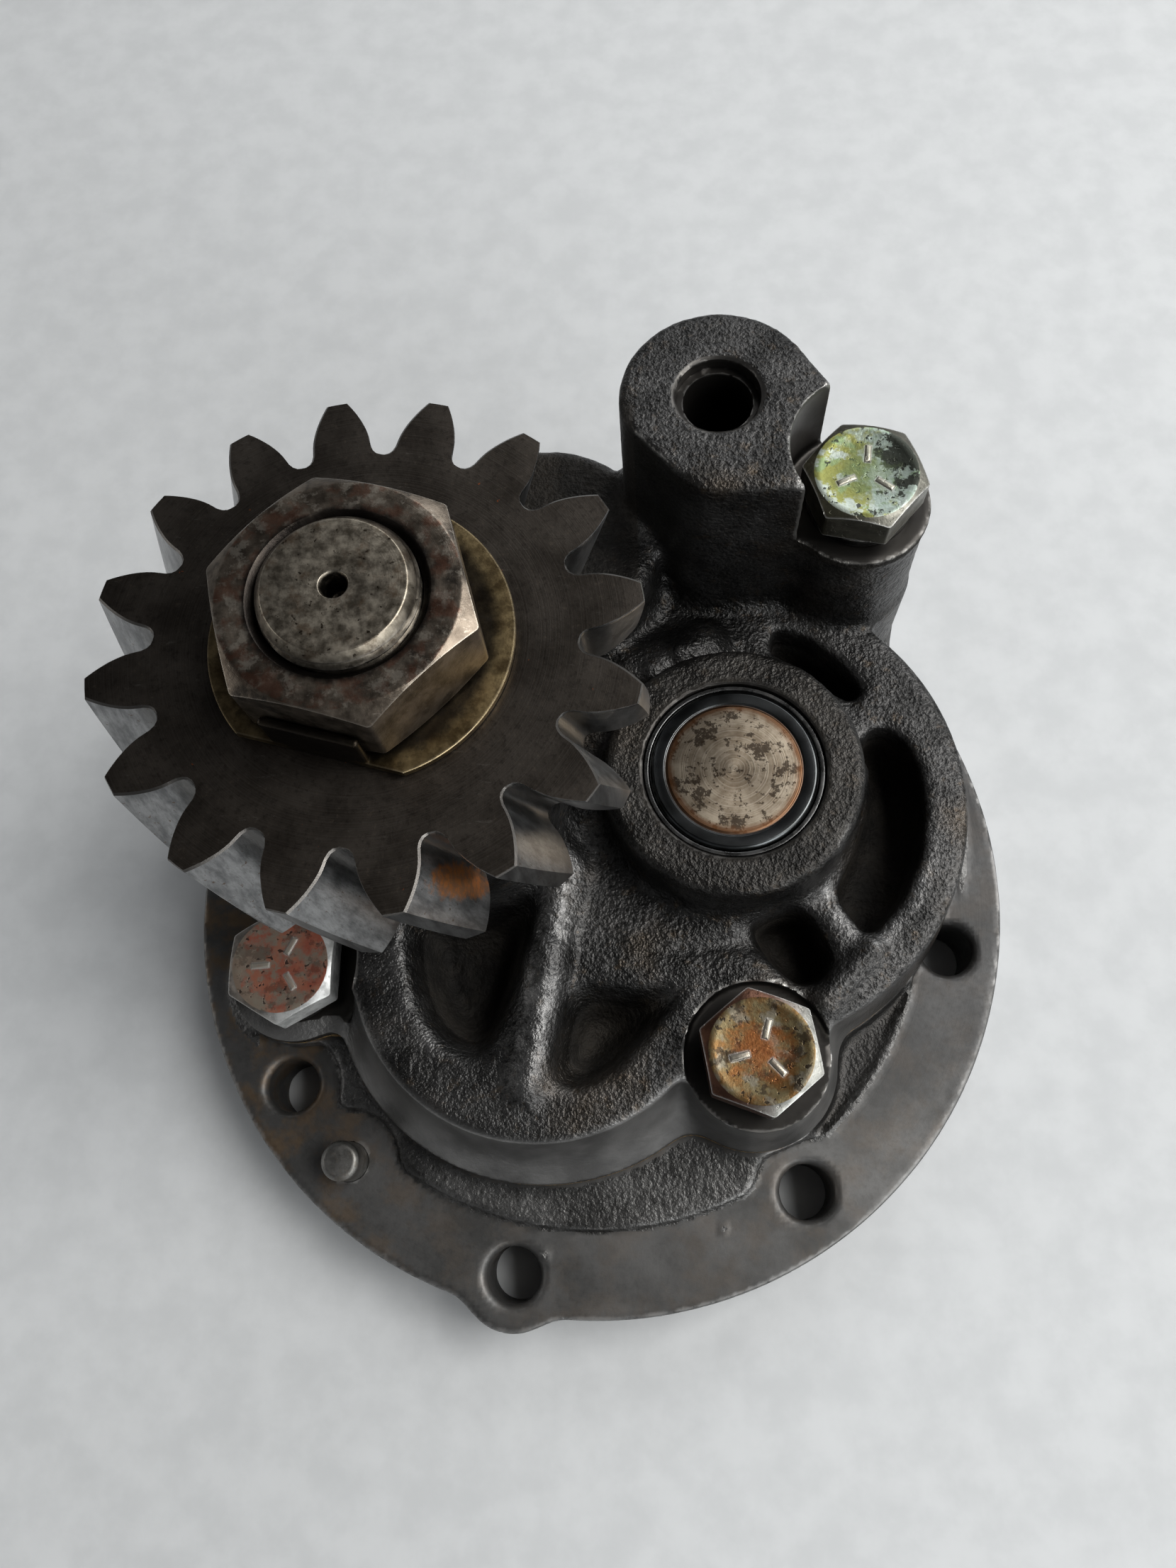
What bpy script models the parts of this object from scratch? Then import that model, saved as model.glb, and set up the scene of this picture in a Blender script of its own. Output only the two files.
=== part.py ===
"""Gear-type oil pump with a helical drive gear, a ribbed cast cover and a round bolt flange.

Frame: metres, +Z up.  The origin is the centre of the round flange on its flat lower face, and +Z
runs along both shafts, towards the helical gear.  All sizes below are in millimetres, and angles
whose unit isn't given are in degrees.
"""
import math
from collections import namedtuple

import bmesh
import bpy
from mathutils import Vector

MM = 0.001
ORIGIN = (0.0, 0.0)

# ---------------------------------------------------------------- driving dimensions (mm)
# heights of the body, gasket and cover; pairs are (bottom, top)
FLANGE_T = 13.7
SPLIT_Z = 15.5             # body face
GASKET_Z = (15.6, 16.1)
COVER_Z = 16.2             # cover face
RIM_Z = 34.0               # top of the cover's rim

# shaft axes
CENTRE_DISTANCE = 50.0
DRIVE = (-24.8, 12.3)
IDLER = (DRIVE[0] + CENTRE_DISTANCE, DRIVE[1])
AXES = {"drive": DRIVE, "idler": IDLER}
MESH_X = 0.5 * (DRIVE[0] + IDLER[0])

# pump gears and their chamber
PUMP_TEETH = 14
PUMP_MODULE = CENTRE_DISTANCE / PUMP_TEETH
PUMP_PITCH_R = CENTRE_DISTANCE / 2
PUMP_TIP_R = PUMP_PITCH_R + 0.95 * PUMP_MODULE
PUMP_ROOT_R = PUMP_PITCH_R - 1.2 * PUMP_MODULE
PUMP_GEAR_Z = (4.7, 15.2)
CHAMBER_FLOOR = 4.4
CHAMBER_R = PUMP_TIP_R + 0.3

# shafts, bushes and keys
JOURNAL_R = 12.0           # drive shaft, and the idler shaft's end in its gear
IDLER_SHAFT_R = 14.1
BUSH_WALL = 3.0
DRIVE_BUSH_R = JOURNAL_R + BUSH_WALL
IDLER_BUSH_R = 15.2
RUNNING_GAP = 0.08
BORE_GAP = 0.12
GEAR_BORE_R = 10.55
THREAD_R = 10.0
KEY_HALF = 3.0
KEYWAY_HALF = KEY_HALF + 0.05      # in the gears
KEYSEAT_HALF = KEY_HALF + 0.03     # in the shafts

# port boss
PORT = (23.5, 66.1)
PORT_R = 16.0
PORT_TOP = 72.0

# bolts through the cover; seat is the height under the spring washer, turn that of the hexagon
Bolt = namedtuple("Bolt", "centre seat turn")
BOLTS = {
    "a": Bolt((47.3, 55.6), 55.8, 47.7),
    "b": Bolt((27.8, -33.4), 31.3, 39.4),
    "c": Bolt((-54.1, -16.5), 20.8, 29.0),
    "d": Bolt((-53.5, 35.0), 20.8, 12.0),
}
BOLT_CENTRES = {key: bolt.centre for key, bolt in BOLTS.items()}
BOLT_HOLE_R = 5.4
WASHER_T = 2.2

# dowels
FLANGE_DOWEL = (-43.8, -49.1)
FLANGE_DOWEL_R = 3.4
COVER_DOWELS = {0: (-18.2, -41.0), 1: (53.5, -14.0)}
COVER_DOWEL_R = 3.0
COVER_DOWEL_HOLE_R = COVER_DOWEL_R + 0.08

# ---------------------------------------------------------------- clean start
for old in list(bpy.data.objects):
    bpy.data.objects.remove(old, do_unlink=True)


# ---------------------------------------------------------------- materials
def make_material(name, color, roughness, metallic):
    material = bpy.data.materials.new(name)
    material.use_nodes = True
    inputs = material.node_tree.nodes["Principled BSDF"].inputs
    inputs["Base Color"].default_value = (*color, 1.0)
    inputs["Roughness"].default_value = roughness
    inputs["Metallic"].default_value = metallic
    return material


CAST_IRON = make_material(
    "cast_iron_dark", color=(0.055, 0.053, 0.052), roughness=0.62, metallic=0.75)
FLANGE_IRON = make_material(
    "flange_iron", color=(0.10, 0.098, 0.094), roughness=0.52, metallic=0.85)
GEAR_STEEL = make_material(
    "gear_steel_dark", color=(0.075, 0.066, 0.056), roughness=0.45, metallic=0.9)
NUT_STEEL = make_material(
    "nut_steel_brown", color=(0.16, 0.13, 0.10), roughness=0.42, metallic=0.9)
WASHER_YELLOW = make_material(
    "washer_yellow", color=(0.42, 0.33, 0.18), roughness=0.4, metallic=0.9)
BRIGHT_STEEL = make_material(
    "bright_steel", color=(0.56, 0.52, 0.45), roughness=0.32, metallic=1.0)
STEEL = make_material(
    "steel", color=(0.38, 0.37, 0.35), roughness=0.35, metallic=1.0)
BRONZE = make_material(
    "bush_bronze", color=(0.45, 0.30, 0.14), roughness=0.35, metallic=1.0)
GASKET_PAPER = make_material(
    "gasket_brown", color=(0.36, 0.25, 0.10), roughness=0.85, metallic=0.0)
BOLT_GREEN = make_material(
    "bolt_green_chromate", color=(0.34, 0.37, 0.18), roughness=0.45, metallic=0.8)
BOLT_YELLOW = make_material(
    "bolt_yellow_chromate", color=(0.48, 0.36, 0.17), roughness=0.45, metallic=0.8)
BOLT_RED = make_material(
    "bolt_red_paint", color=(0.45, 0.20, 0.15), roughness=0.5, metallic=0.4)
SPRING_STEEL = make_material(
    "spring_steel_black", color=(0.06, 0.06, 0.06), roughness=0.45, metallic=0.9)


# ---------------------------------------------------------------- plane outlines
def polar(radius, angle):
    return (radius * math.cos(math.radians(angle)), radius * math.sin(math.radians(angle)))


def circle(centre, radius, segments, start=0.0):
    """Points on a circle; start is in radians."""
    angles = [start + 2 * math.pi * i / segments for i in range(segments)]
    return [(centre[0] + radius * math.cos(angle), centre[1] + radius * math.sin(angle))
            for angle in angles]


def hull(points):
    """Convex hull, counter-clockwise."""
    ordered = sorted(set((round(x, 6), round(y, 6)) for x, y in points))

    def turns_left(first, second, third):
        return ((second[0] - first[0]) * (third[1] - first[1])
                - (second[1] - first[1]) * (third[0] - first[0])) > 0

    def half(sequence):
        chain = []
        for point in sequence:
            while len(chain) > 1 and not turns_left(chain[-2], chain[-1], point):
                chain.pop()
            chain.append(point)
        return chain[:-1]
    return half(ordered) + half(ordered[::-1])


def sector(centre, inner, outer, start, end, corner, steps=10):
    """Ring sector with its four corners cut off by the corner length."""
    start, end = math.radians(start), math.radians(end)
    inner_trim, outer_trim = corner / inner, corner / outer
    inner_span = end - start - 2 * inner_trim
    outer_span = end - start - 2 * outer_trim
    stations = [(outer, start + outer_trim + outer_span * i / steps) for i in range(steps + 1)]
    stations += [(outer - corner, end), (inner + corner, end)]
    stations += [(inner, end - inner_trim - inner_span * i / steps) for i in range(steps + 1)]
    stations += [(inner + corner, start), (outer - corner, start)]
    return [(centre[0] + radius * math.cos(angle), centre[1] + radius * math.sin(angle))
            for radius, angle in stations]


def hexagon(across_flats, turn):
    corner_r = across_flats / 2 / math.cos(math.pi / 6)
    return [polar(corner_r, turn + 60 * i) for i in range(6)]


# ---------------------------------------------------------------- solids (mm)
def loft(rings):
    """Closed solid through rings of equally many 3-D points."""
    mesh = bmesh.new()
    loops = [[mesh.verts.new(point) for point in ring] for ring in rings]
    for lower, upper in zip(loops, loops[1:]):
        count = len(lower)
        for i in range(count):
            j = (i + 1) % count
            mesh.faces.new((lower[i], lower[j], upper[j], upper[i]))
    mesh.faces.new(list(reversed(loops[0])))
    mesh.faces.new(loops[-1])
    return mesh


def at_height(points, z):
    return [(x, y, z) for x, y in points]


def prism(points, bottom, top):
    return loft([at_height(points, bottom), at_height(points, top)])


def cone(centre, bottom_r, top_r, bottom, top, segments=32):
    start = math.pi / segments
    return loft([at_height(circle(centre, bottom_r, segments, start), bottom),
                 at_height(circle(centre, top_r, segments, start), top)])


def cylinder(centre, radius, bottom, top, segments=32):
    return cone(centre, radius, radius, bottom, top, segments)


def slab(outward, near, far, half_width, bottom, top, centre=ORIGIN):
    """Block that lies from near to far along a direction and is centred across it."""
    centre = Vector(centre)
    across = Vector((-outward.y, outward.x))
    corners = ((near, -half_width), (far, -half_width), (far, half_width), (near, half_width))
    points = [centre + (outward * reach + across * side) for reach, side in corners]
    return prism([(point.x, point.y) for point in points], bottom, top)


def key_block(near, far, half_width, bottom, top):
    """Block along the shaft on its +X side."""
    return slab(Vector((1.0, 0.0)), near, far, half_width, bottom, top)


def lathe(profile, segments):
    """Solid of revolution from a closed (radius, z) polygon; radius 0 becomes a pole."""
    mesh = bmesh.new()
    rings = []
    for radius, z in profile:
        if radius < 1e-6:
            rings.append([mesh.verts.new((0, 0, z))])
        else:
            points = circle(ORIGIN, radius, segments, math.pi / segments)
            rings.append([mesh.verts.new((x, y, z)) for x, y in points])
    for ring, following in zip(rings, rings[1:] + rings[:1]):
        if len(ring) == 1 and len(following) == 1:
            continue
        for i in range(segments):
            j = (i + 1) % segments
            if len(ring) == 1:
                mesh.faces.new((ring[0], following[i], following[j]))
            elif len(following) == 1:
                mesh.faces.new((ring[i], following[0], ring[j]))
            else:
                mesh.faces.new((ring[i], following[i], following[j], ring[j]))
    return mesh


def tube(inner, outer, bottom, top, segments):
    return lathe([(inner, bottom), (outer, bottom), (outer, top), (inner, top)], segments)


def crown(across_flats, bottom, top, segments, both_ends=False):
    """Turned blank that chamfers a hexagon's corners at the top, or at both ends."""
    flat_r = across_flats / 2 * 0.96
    corner_r = across_flats / 2 / math.cos(math.pi / 6) + 0.05
    rise = (corner_r - flat_r) * math.tan(math.radians(30))
    lower_edge = [(flat_r, bottom), (corner_r, bottom + rise)] if both_ends else [(corner_r, bottom)]
    return lathe([(0, bottom), *lower_edge, (corner_r, top - rise), (flat_r, top), (0, top)],
                 segments)


# ---------------------------------------------------------------- objects and Booleans
def make_part(name, mesh, material, at=ORIGIN, parent=None, sharp_angle=35.0):
    """Turns a bmesh in mm into an object in metres."""
    bmesh.ops.recalc_face_normals(mesh, faces=mesh.faces[:])
    bmesh.ops.scale(mesh, vec=(MM, MM, MM), verts=mesh.verts[:])
    data = bpy.data.meshes.new(name)
    mesh.to_mesh(data)
    mesh.free()
    data.shade_smooth()
    data.set_sharp_from_angle(angle=math.radians(sharp_angle))
    if material is not None:
        data.materials.append(material)
    part = bpy.data.objects.new(name, data)
    bpy.context.scene.collection.objects.link(part)
    part.parent = parent
    part.location = Vector((*at, 0)) * MM
    return part


def make_axis(name, centre):
    """Empty that carries the pieces on one shaft."""
    axis = bpy.data.objects.new(name, None)
    bpy.context.scene.collection.objects.link(axis)
    axis.location = Vector((*centre, 0)) * MM
    return axis


def boolean(target, mesh, operation, label, parent=None):
    """Adds a hidden tool object, by default beside its target, and the modifier that uses it."""
    tool = make_part("tool_" + target.name + "_" + label, mesh, None,
                     parent=parent or target.parent)
    tool.hide_render = True
    tool.display_type = "WIRE"
    modifier = target.modifiers.new(label, "BOOLEAN")
    modifier.operation = operation
    modifier.object = tool
    modifier.solver = "EXACT"


# The open ends of cutters overshoot the metal, at differing heights.
def add(target, mesh, label):
    boolean(target, mesh, "UNION", label)


def cut(target, mesh, label):
    boolean(target, mesh, "DIFFERENCE", label)


def cut_holes(target, label, centres, radius, bottom, top, segments):
    """One round hole for each entry of a {key: centre} table."""
    for key, centre in centres.items():
        cut(target, cylinder(centre, radius, bottom, top, segments), f"{label}_{key}")


# ---------------------------------------------------------------- outlines of the castings
EAR_R = 12.0               # ears of bolts c and d
COLUMN_R = 12.2            # column of bolt a
REAR_LOBE = (-7.0, 56.0)   # round lobe on the +Y side
PORT_HULL = hull(circle(PORT, PORT_R, 36) + circle((35.5, 58.4), 10.0, 24)
                 + circle((22.5, 54.5), 6.0, 18))
# circles that merge with the port hull: centre, radius
RIM_CIRCLES = (
    ((23.0, 11.0), 43.1), ((-8.6, -14.8), 32.2), (BOLTS["b"].centre, 12.0),
    (DRIVE, 36.0), (REAR_LOBE, 20.4), (BOLTS["a"].centre, COLUMN_R),
)
FOOT_CIRCLES = (
    ((23.0, 11.0), 44.6), ((-8.6, -14.8), 38.4), (BOLTS["b"].centre, 14.6),
    (DRIVE, 37.5), (REAR_LOBE, 20.6), (BOLTS["a"].centre, COLUMN_R),
    (BOLTS["c"].centre, EAR_R), (BOLTS["d"].centre, EAR_R),
)
FLANGE_R = 75.0
LUG = polar(69.3, -101.8)  # one flange hole stands out on a lug
LUG_R = 9.2
TRACE_FROM = (3.0, 8.0)


def circle_distance(x, y, centre, radius):
    return math.hypot(x - centre[0], y - centre[1]) - radius


def polygon_distance(x, y, corners):
    """Signed distance to a polygon, negative inside."""
    nearest, inside = 1e9, False
    for (x0, y0), (x1, y1) in zip(corners, corners[1:] + corners[:1]):
        edge_x, edge_y = x1 - x0, y1 - y0
        along = ((x - x0) * edge_x + (y - y0) * edge_y) / (edge_x * edge_x + edge_y * edge_y)
        along = max(0.0, min(1.0, along))
        nearest = min(nearest, math.hypot(x - x0 - along * edge_x, y - y0 - along * edge_y))
        if (y0 > y) != (y1 > y) and x < edge_x * (y - y0) / edge_y + x0:
            inside = not inside
    return -nearest if inside else nearest


def smooth_min(first, second, width):
    share = max(0.0, min(1.0, 0.5 + 0.5 * (second - first) / width))
    return second + (first - second) * share - width * share * (1 - share)


def merge_circles(x, y, distance, circles, width):
    for centre, radius in circles:
        distance = smooth_min(distance, circle_distance(x, y, centre, radius), width)
    return distance


def rim_distance(x, y):
    return merge_circles(x, y, polygon_distance(x, y, PORT_HULL), RIM_CIRCLES, 3.0)


def foot_distance(x, y):
    return merge_circles(x, y, polygon_distance(x, y, PORT_HULL) - 0.2, FOOT_CIRCLES, 5.0)


def flange_distance(x, y):
    """Round flange, blended into the hole's lug and into the bulge of the foot."""
    distance = smooth_min(circle_distance(x, y, ORIGIN, FLANGE_R),
                          circle_distance(x, y, LUG, LUG_R), 2.5)
    return smooth_min(distance, foot_distance(x, y) - 0.5, 5.0)


def trace(distance, offset=0.0, rays=96):
    """Outline of a shape that can be seen whole from TRACE_FROM, one point per ray."""
    def on_ray(angle, reach):
        return (TRACE_FROM[0] + reach * math.cos(angle), TRACE_FROM[1] + reach * math.sin(angle))

    outline = []
    for i in range(rays):
        angle = 2 * math.pi * i / rays
        far = 5.0
        while far < 110.0 and distance(*on_ray(angle, far)) < offset:
            far += 0.5
        near = far - 0.5
        for _ in range(24):
            middle = 0.5 * (near + far)
            if distance(*on_ray(angle, middle)) < offset:
                near = middle
            else:
                far = middle
        outline.append(on_ray(angle, near))
    return outline


# ---------------------------------------------------------------- pump body with its flange
FLANGE_HOLE_CIRCLE_R = 65.6
FLANGE_HOLE_ANGLES = (-11.2, -56.2, -147.0, 168.8, 123.8)
FLANGE_HOLE_R = 4.7
HOLE_CHAMFER = 0.8
TAP_R = 5.0
PAD_FLARE = 0.35           # the pad is this much wider at its foot
SUCTION_PORT = (MESH_X, DRIVE[1] - 23.0)
SUCTION_PORT_R = 7.0
SUCTION_POCKET = hull(circle((MESH_X, DRIVE[1] - 17.0), 9.0, 20) + circle(SUCTION_PORT, 8.0, 20))
PRESSURE_CHANNEL = hull(circle((MESH_X, DRIVE[1] + 15.5), 7.5, 20) + circle(PORT, 6.3, 20))


def cut_flange_hole(body, centre, kind, suffix=""):
    """Through hole with a 45 degree chamfer at the top."""
    cut(body, cylinder(centre, FLANGE_HOLE_R, -5.0, 30.0, 20), f"{kind}_hole{suffix}")
    chamfer = cone(centre, FLANGE_HOLE_R - 0.2, FLANGE_HOLE_R + 2.2,
                   FLANGE_T - HOLE_CHAMFER - 0.2, FLANGE_T + 1.4, 20)
    cut(body, chamfer, f"{kind}_chamfer{suffix}")


def build_body():
    body = make_part("pump_body", prism(trace(flange_distance, rays=128), 0.0, FLANGE_T),
                     FLANGE_IRON)
    wide_pad = trace(foot_distance, PAD_FLARE)
    add(body, loft([at_height(wide_pad, FLANGE_T - 3.0), at_height(wide_pad, FLANGE_T),
                    at_height(trace(foot_distance), SPLIT_Z)]), "pad")
    # gear chamber: two overlapping round pockets, with a pocket on each side of the mesh
    cut_holes(body, "chamber", AXES, CHAMBER_R, CHAMBER_FLOOR, SPLIT_Z + 4, 56)
    cut(body, prism(SUCTION_POCKET, CHAMBER_FLOOR + 0.01, SPLIT_Z + 5), "suction_pocket")
    cut(body, cylinder(SUCTION_PORT, SUCTION_PORT_R, -4.0, CHAMBER_FLOOR + 3, 24),
        "suction_port")
    cut(body, prism(PRESSURE_CHANNEL, CHAMBER_FLOOR + 1.6, SPLIT_Z + 6), "pressure_channel")
    for i, angle in enumerate(FLANGE_HOLE_ANGLES):
        cut_flange_hole(body, polar(FLANGE_HOLE_CIRCLE_R, angle), "flange", f"_{i}")
    cut_flange_hole(body, LUG, "lug")
    cut(body, cylinder(FLANGE_DOWEL, FLANGE_DOWEL_R + 0.06, 3.9, 30.0, 16), "flange_dowel_hole")
    cut_holes(body, "cover_dowel_hole", COVER_DOWELS, COVER_DOWEL_HOLE_R, 7.0, 30.0, 14)
    cut_holes(body, "tapped_hole", BOLT_CENTRES, TAP_R, 2.0, 30.0, 16)


# ---------------------------------------------------------------- gasket between body and cover
def build_gasket():
    gasket = make_part("cover_gasket", prism(trace(foot_distance, -0.1, 72), *GASKET_Z),
                       GASKET_PAPER)
    cut_holes(gasket, "chamber", AXES, CHAMBER_R + 0.5, 10, 20, 32)
    cut(gasket, prism(SUCTION_POCKET, 10, 20.2), "suction_pocket")
    cut(gasket, prism(PRESSURE_CHANNEL, 10, 20.4), "pressure_channel")
    cut_holes(gasket, "cover_dowel_hole", COVER_DOWELS, COVER_DOWEL_R + 0.3, 10, 20, 12)
    cut_holes(gasket, "bolt_hole", BOLT_CENTRES, BOLT_HOLE_R, 10, 20, 12)


# ---------------------------------------------------------------- cast cover
# the skirt sweeps out from the rim to the foot: z, share of the foot's outline
SKIRT = ((COVER_Z, 1.0), (18.0, 1.0), (21.5, 0.55), (27.0, 0.18), (RIM_Z, 0.0))
DRIVE_BOSS_R = 19.5
DRIVE_BOSS_TOP = 72.0
IDLER_BOSS_R = 21.8
IDLER_BOSS_TOP = 45.0
REAR_LOBE_TOP = 45.0
PORT_BORE_R = 5.65
PORT_STEP_R = 6.86         # wider mouth of the port
PORT_STEP_DEPTH = 2.4
FLAT_DIRECTION = Vector((-0.769, -0.640))
FLAT_REACH = 14.5          # from the port's axis to the milled flat
BOLT_A_RECESS_R = 13.0
SPOT_FACE_R = 12.2
POCKET_Z = 20.5            # floor of the weight-saving pockets
# outlines of the pockets between the ribs: (x, y)
POCKETS = {
    "kidney_pocket": sector(IDLER, inner=24.2, outer=34.2, start=-47, end=21, corner=3.0),
    "upper_pocket": [
        (33.0, 38.6), (38.6, 35.4), (43.6, 30.6), (46.6, 28.6), (49.3, 29.3),
        (49.6, 32.2), (46.0, 37.6), (40.5, 42.4), (34.0, 44.6)],
    "lower_pocket": [
        (28.5, -11.6), (34.6, -9.0), (38.5, -12.6), (40.6, -17.4), (38.8, -20.6),
        (35.2, -20.9)],
    "right_valley": [
        (-3.4, -21.0), (8.0, -22.2), (15.6, -20.6), (14.6, -24.0), (10.0, -29.0),
        (5.2, -34.0), (0.6, -37.2), (-4.0, -38.4), (-6.8, -36.4), (-5.6, -31.2),
        (-4.3, -25.0)],
    "left_valley": [
        (-32.2, -12.4), (-31.2, -19.5), (-29.0, -26.4), (-24.6, -31.0), (-18.0, -35.0),
        (-15.2, -31.4), (-12.0, -22.7), (-10.6, -14.4), (-20.0, -12.2)],
}


def skirt_ring(z, foot_share):
    def distance(x, y):
        return (1 - foot_share) * rim_distance(x, y) + foot_share * foot_distance(x, y)
    return at_height(trace(distance), z)


def add_cover_bosses(cover):
    """The bosses' feet sink into the skirt at slightly different heights."""
    column = BOLTS["a"]
    add(cover, cone(IDLER, IDLER_BOSS_R + 1.2, IDLER_BOSS_R, 17.0, IDLER_BOSS_TOP, 40),
        "idler_boss")
    add(cover, cone(DRIVE, DRIVE_BOSS_R + 2.6, DRIVE_BOSS_R, 17.1, DRIVE_BOSS_TOP, 32),
        "drive_boss")
    add(cover, prism(PORT_HULL, 17.2, PORT_TOP), "port_boss")
    add(cover, cone(REAR_LOBE, 20.8, 20.3, 17.3, REAR_LOBE_TOP, 36), "rear_lobe")
    add(cover, cone(column.centre, COLUMN_R - 0.1, COLUMN_R - 0.3, 17.4, column.seat, 28),
        "bolt_column")


def cut_cover_seats(cover):
    """Flat on the port boss, the recess for the bolt beside it, and the other bolts' seats."""
    cut(cover, slab(FLAT_DIRECTION, FLAT_REACH, FLAT_REACH + 12, 22, 36.0, PORT_TOP + 8,
                    centre=PORT), "milled_flat")
    cut(cover, cylinder(BOLTS["a"].centre, BOLT_A_RECESS_R, BOLTS["a"].seat, PORT_TOP + 9, 32),
        "bolt_a_recess")
    for key in ("b", "c", "d"):
        bolt = BOLTS[key]
        cut(cover, cylinder(bolt.centre, SPOT_FACE_R, bolt.seat, 60.0, 28), "spot_face_" + key)


def cut_cover_bores(cover):
    cut(cover, cylinder(DRIVE, DRIVE_BUSH_R + BORE_GAP, 10, 90, 32), "drive_bore")
    cut(cover, cylinder(IDLER, IDLER_BUSH_R + BORE_GAP, 10, 90, 40), "idler_bore")
    cut(cover, cylinder(PORT, PORT_BORE_R, 10, 90, 24), "port_bore")
    cut(cover, cylinder(PORT, PORT_STEP_R, PORT_TOP - PORT_STEP_DEPTH, 91, 28), "port_step")
    cut_holes(cover, "bolt_hole", BOLT_CENTRES, BOLT_HOLE_R, 9, 92, 18)
    cut_holes(cover, "cover_dowel_hole", COVER_DOWELS, COVER_DOWEL_HOLE_R, 9, 24.0, 14)


def build_cover():
    cover = make_part("pump_cover", loft([skirt_ring(*station) for station in SKIRT]), CAST_IRON)
    add_cover_bosses(cover)
    cut_cover_seats(cover)
    for label, outline in POCKETS.items():
        cut(cover, prism(outline, POCKET_Z, 50), label)
    cut_cover_bores(cover)


# ---------------------------------------------------------------- gears
PRESSURE_ANGLE = math.radians(20.0)
HELICAL_TEETH = 16         # left hand
HELICAL_Z = (76.3, 97.3)
HELICAL_TIP_R = 36.3
HELICAL_PITCH_R = 32.3
HELICAL_ROOT_R = 27.7
HELICAL_PHASE = math.radians(98.97)    # of the upper face
HELICAL_TWIST = 0.1911     # turn of the lower face against the upper one, radians


def involute(angle):
    return math.tan(angle) - angle


def tooth_half_angle(radius, pitch_r, half_at_pitch):
    """Half of an involute tooth's angle at a radius, from its half angle at the pitch circle."""
    base_r = pitch_r * math.cos(PRESSURE_ANGLE)
    flank_angle = math.acos(base_r / max(radius, base_r))
    return half_at_pitch + involute(PRESSURE_ANGLE) - involute(flank_angle)


def gear_outline(teeth, pitch_r, tip_r, root_r, thinning, steps=4):
    """Counter-clockwise (radius, angle) points, with a tooth centred on angle zero.

    Thinning is what each flank gives up at the pitch circle.
    """
    pitch = 2 * math.pi / teeth
    half_at_pitch = pitch / 4 - thinning / pitch_r
    start = max(root_r + 0.06 * (tip_r - root_r), pitch_r * math.cos(PRESSURE_ANGLE))
    radii = [start + (tip_r - start) * (i / (steps - 1)) for i in range(steps)]
    flank = [(radius, tooth_half_angle(radius, pitch_r, half_at_pitch)) for radius in radii]
    base = flank[0][1]
    flank.insert(0, (root_r, base + 0.35 * (pitch / 2 - base)))
    points = []
    for k in range(teeth):
        middle = k * pitch
        points += [(radius, middle - half) for radius, half in flank]
        points += [(radius, middle + half) for radius, half in reversed(flank)]
    return points


def gear_blank(outline, heights, bottom_phase, top_phase, levels):
    """Toothed solid whose phase runs linearly from bottom to top."""
    bottom, top = heights
    rings = []
    for i in range(levels):
        share = i / (levels - 1)
        phase = bottom_phase + (top_phase - bottom_phase) * share
        z = bottom + (top - bottom) * share
        rings.append([(radius * math.cos(angle + phase), radius * math.sin(angle + phase), z)
                      for radius, angle in outline])
    return loft(rings)


def build_pump_gear(name, phase, axis):
    outline = gear_outline(PUMP_TEETH, PUMP_PITCH_R, PUMP_TIP_R, PUMP_ROOT_R, thinning=0.09)
    gear = make_part(name, gear_blank(outline, PUMP_GEAR_Z, phase, phase, levels=2), STEEL,
                     parent=axis, sharp_angle=30)
    cut(gear, cylinder(ORIGIN, JOURNAL_R + BORE_GAP, -5, 30, 32), "bore")
    cut(gear, key_block(8.0, 14.9, KEYWAY_HALF, -4, 29), "keyway")


def build_helical_gear(axis):
    outline = gear_outline(HELICAL_TEETH, HELICAL_PITCH_R, HELICAL_TIP_R, HELICAL_ROOT_R,
                           thinning=0.1)
    blank = gear_blank(outline, HELICAL_Z, HELICAL_PHASE + HELICAL_TWIST, HELICAL_PHASE, levels=4)
    gear = make_part("helical_drive_gear", blank, GEAR_STEEL, parent=axis, sharp_angle=30)
    cut(gear, cylinder(ORIGIN, GEAR_BORE_R, 60, 110, 32), "bore")
    cut(gear, key_block(6.0, 13.4, KEYWAY_HALF, 59, 111), "keyway")


# ---------------------------------------------------------------- shafts and keys
GEAR_SEAT_R = GEAR_BORE_R - 0.05
COLLAR_R = 15.0
# shaft profiles: (radius, z)
SHAFT_FOOT = [(0, 4.9), (10.9, 4.9), (JOURNAL_R, 6.0)]
DRIVE_PROFILE = SHAFT_FOOT + [
    (JOURNAL_R, 74.0), (COLLAR_R, 74.0), (COLLAR_R, 76.1),
    (GEAR_SEAT_R, 76.1), (GEAR_SEAT_R, 97.0), (THREAD_R, 97.6), (THREAD_R, 110.9),
    (8.6, 112.1), (1.9, 112.1), (1.6, 110.4), (0, 109.4),
]
IDLER_PROFILE = SHAFT_FOOT + [
    (JOURNAL_R, 15.5), (IDLER_SHAFT_R, 16.5), (IDLER_SHAFT_R, 44.2), (13.6, 44.7), (0, 44.7),
]


def build_drive_shaft(axis):
    shaft = make_part("drive_shaft", lathe(DRIVE_PROFILE, 32), BRIGHT_STEEL, parent=axis)
    cut(shaft, key_block(8.9, 20.0, KEYSEAT_HALF, 3.0, 15.2), "pump_gear_keyseat")
    cut(shaft, key_block(7.6, 20.0, KEYSEAT_HALF, 77.4, 95.2), "gear_keyseat")


def build_idler_shaft(axis):
    shaft = make_part("idler_shaft", lathe(IDLER_PROFILE, 40), BRIGHT_STEEL, parent=axis)
    cut(shaft, key_block(8.9, 20.0, KEYSEAT_HALF, 3.0, 15.3), "keyseat")


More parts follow.
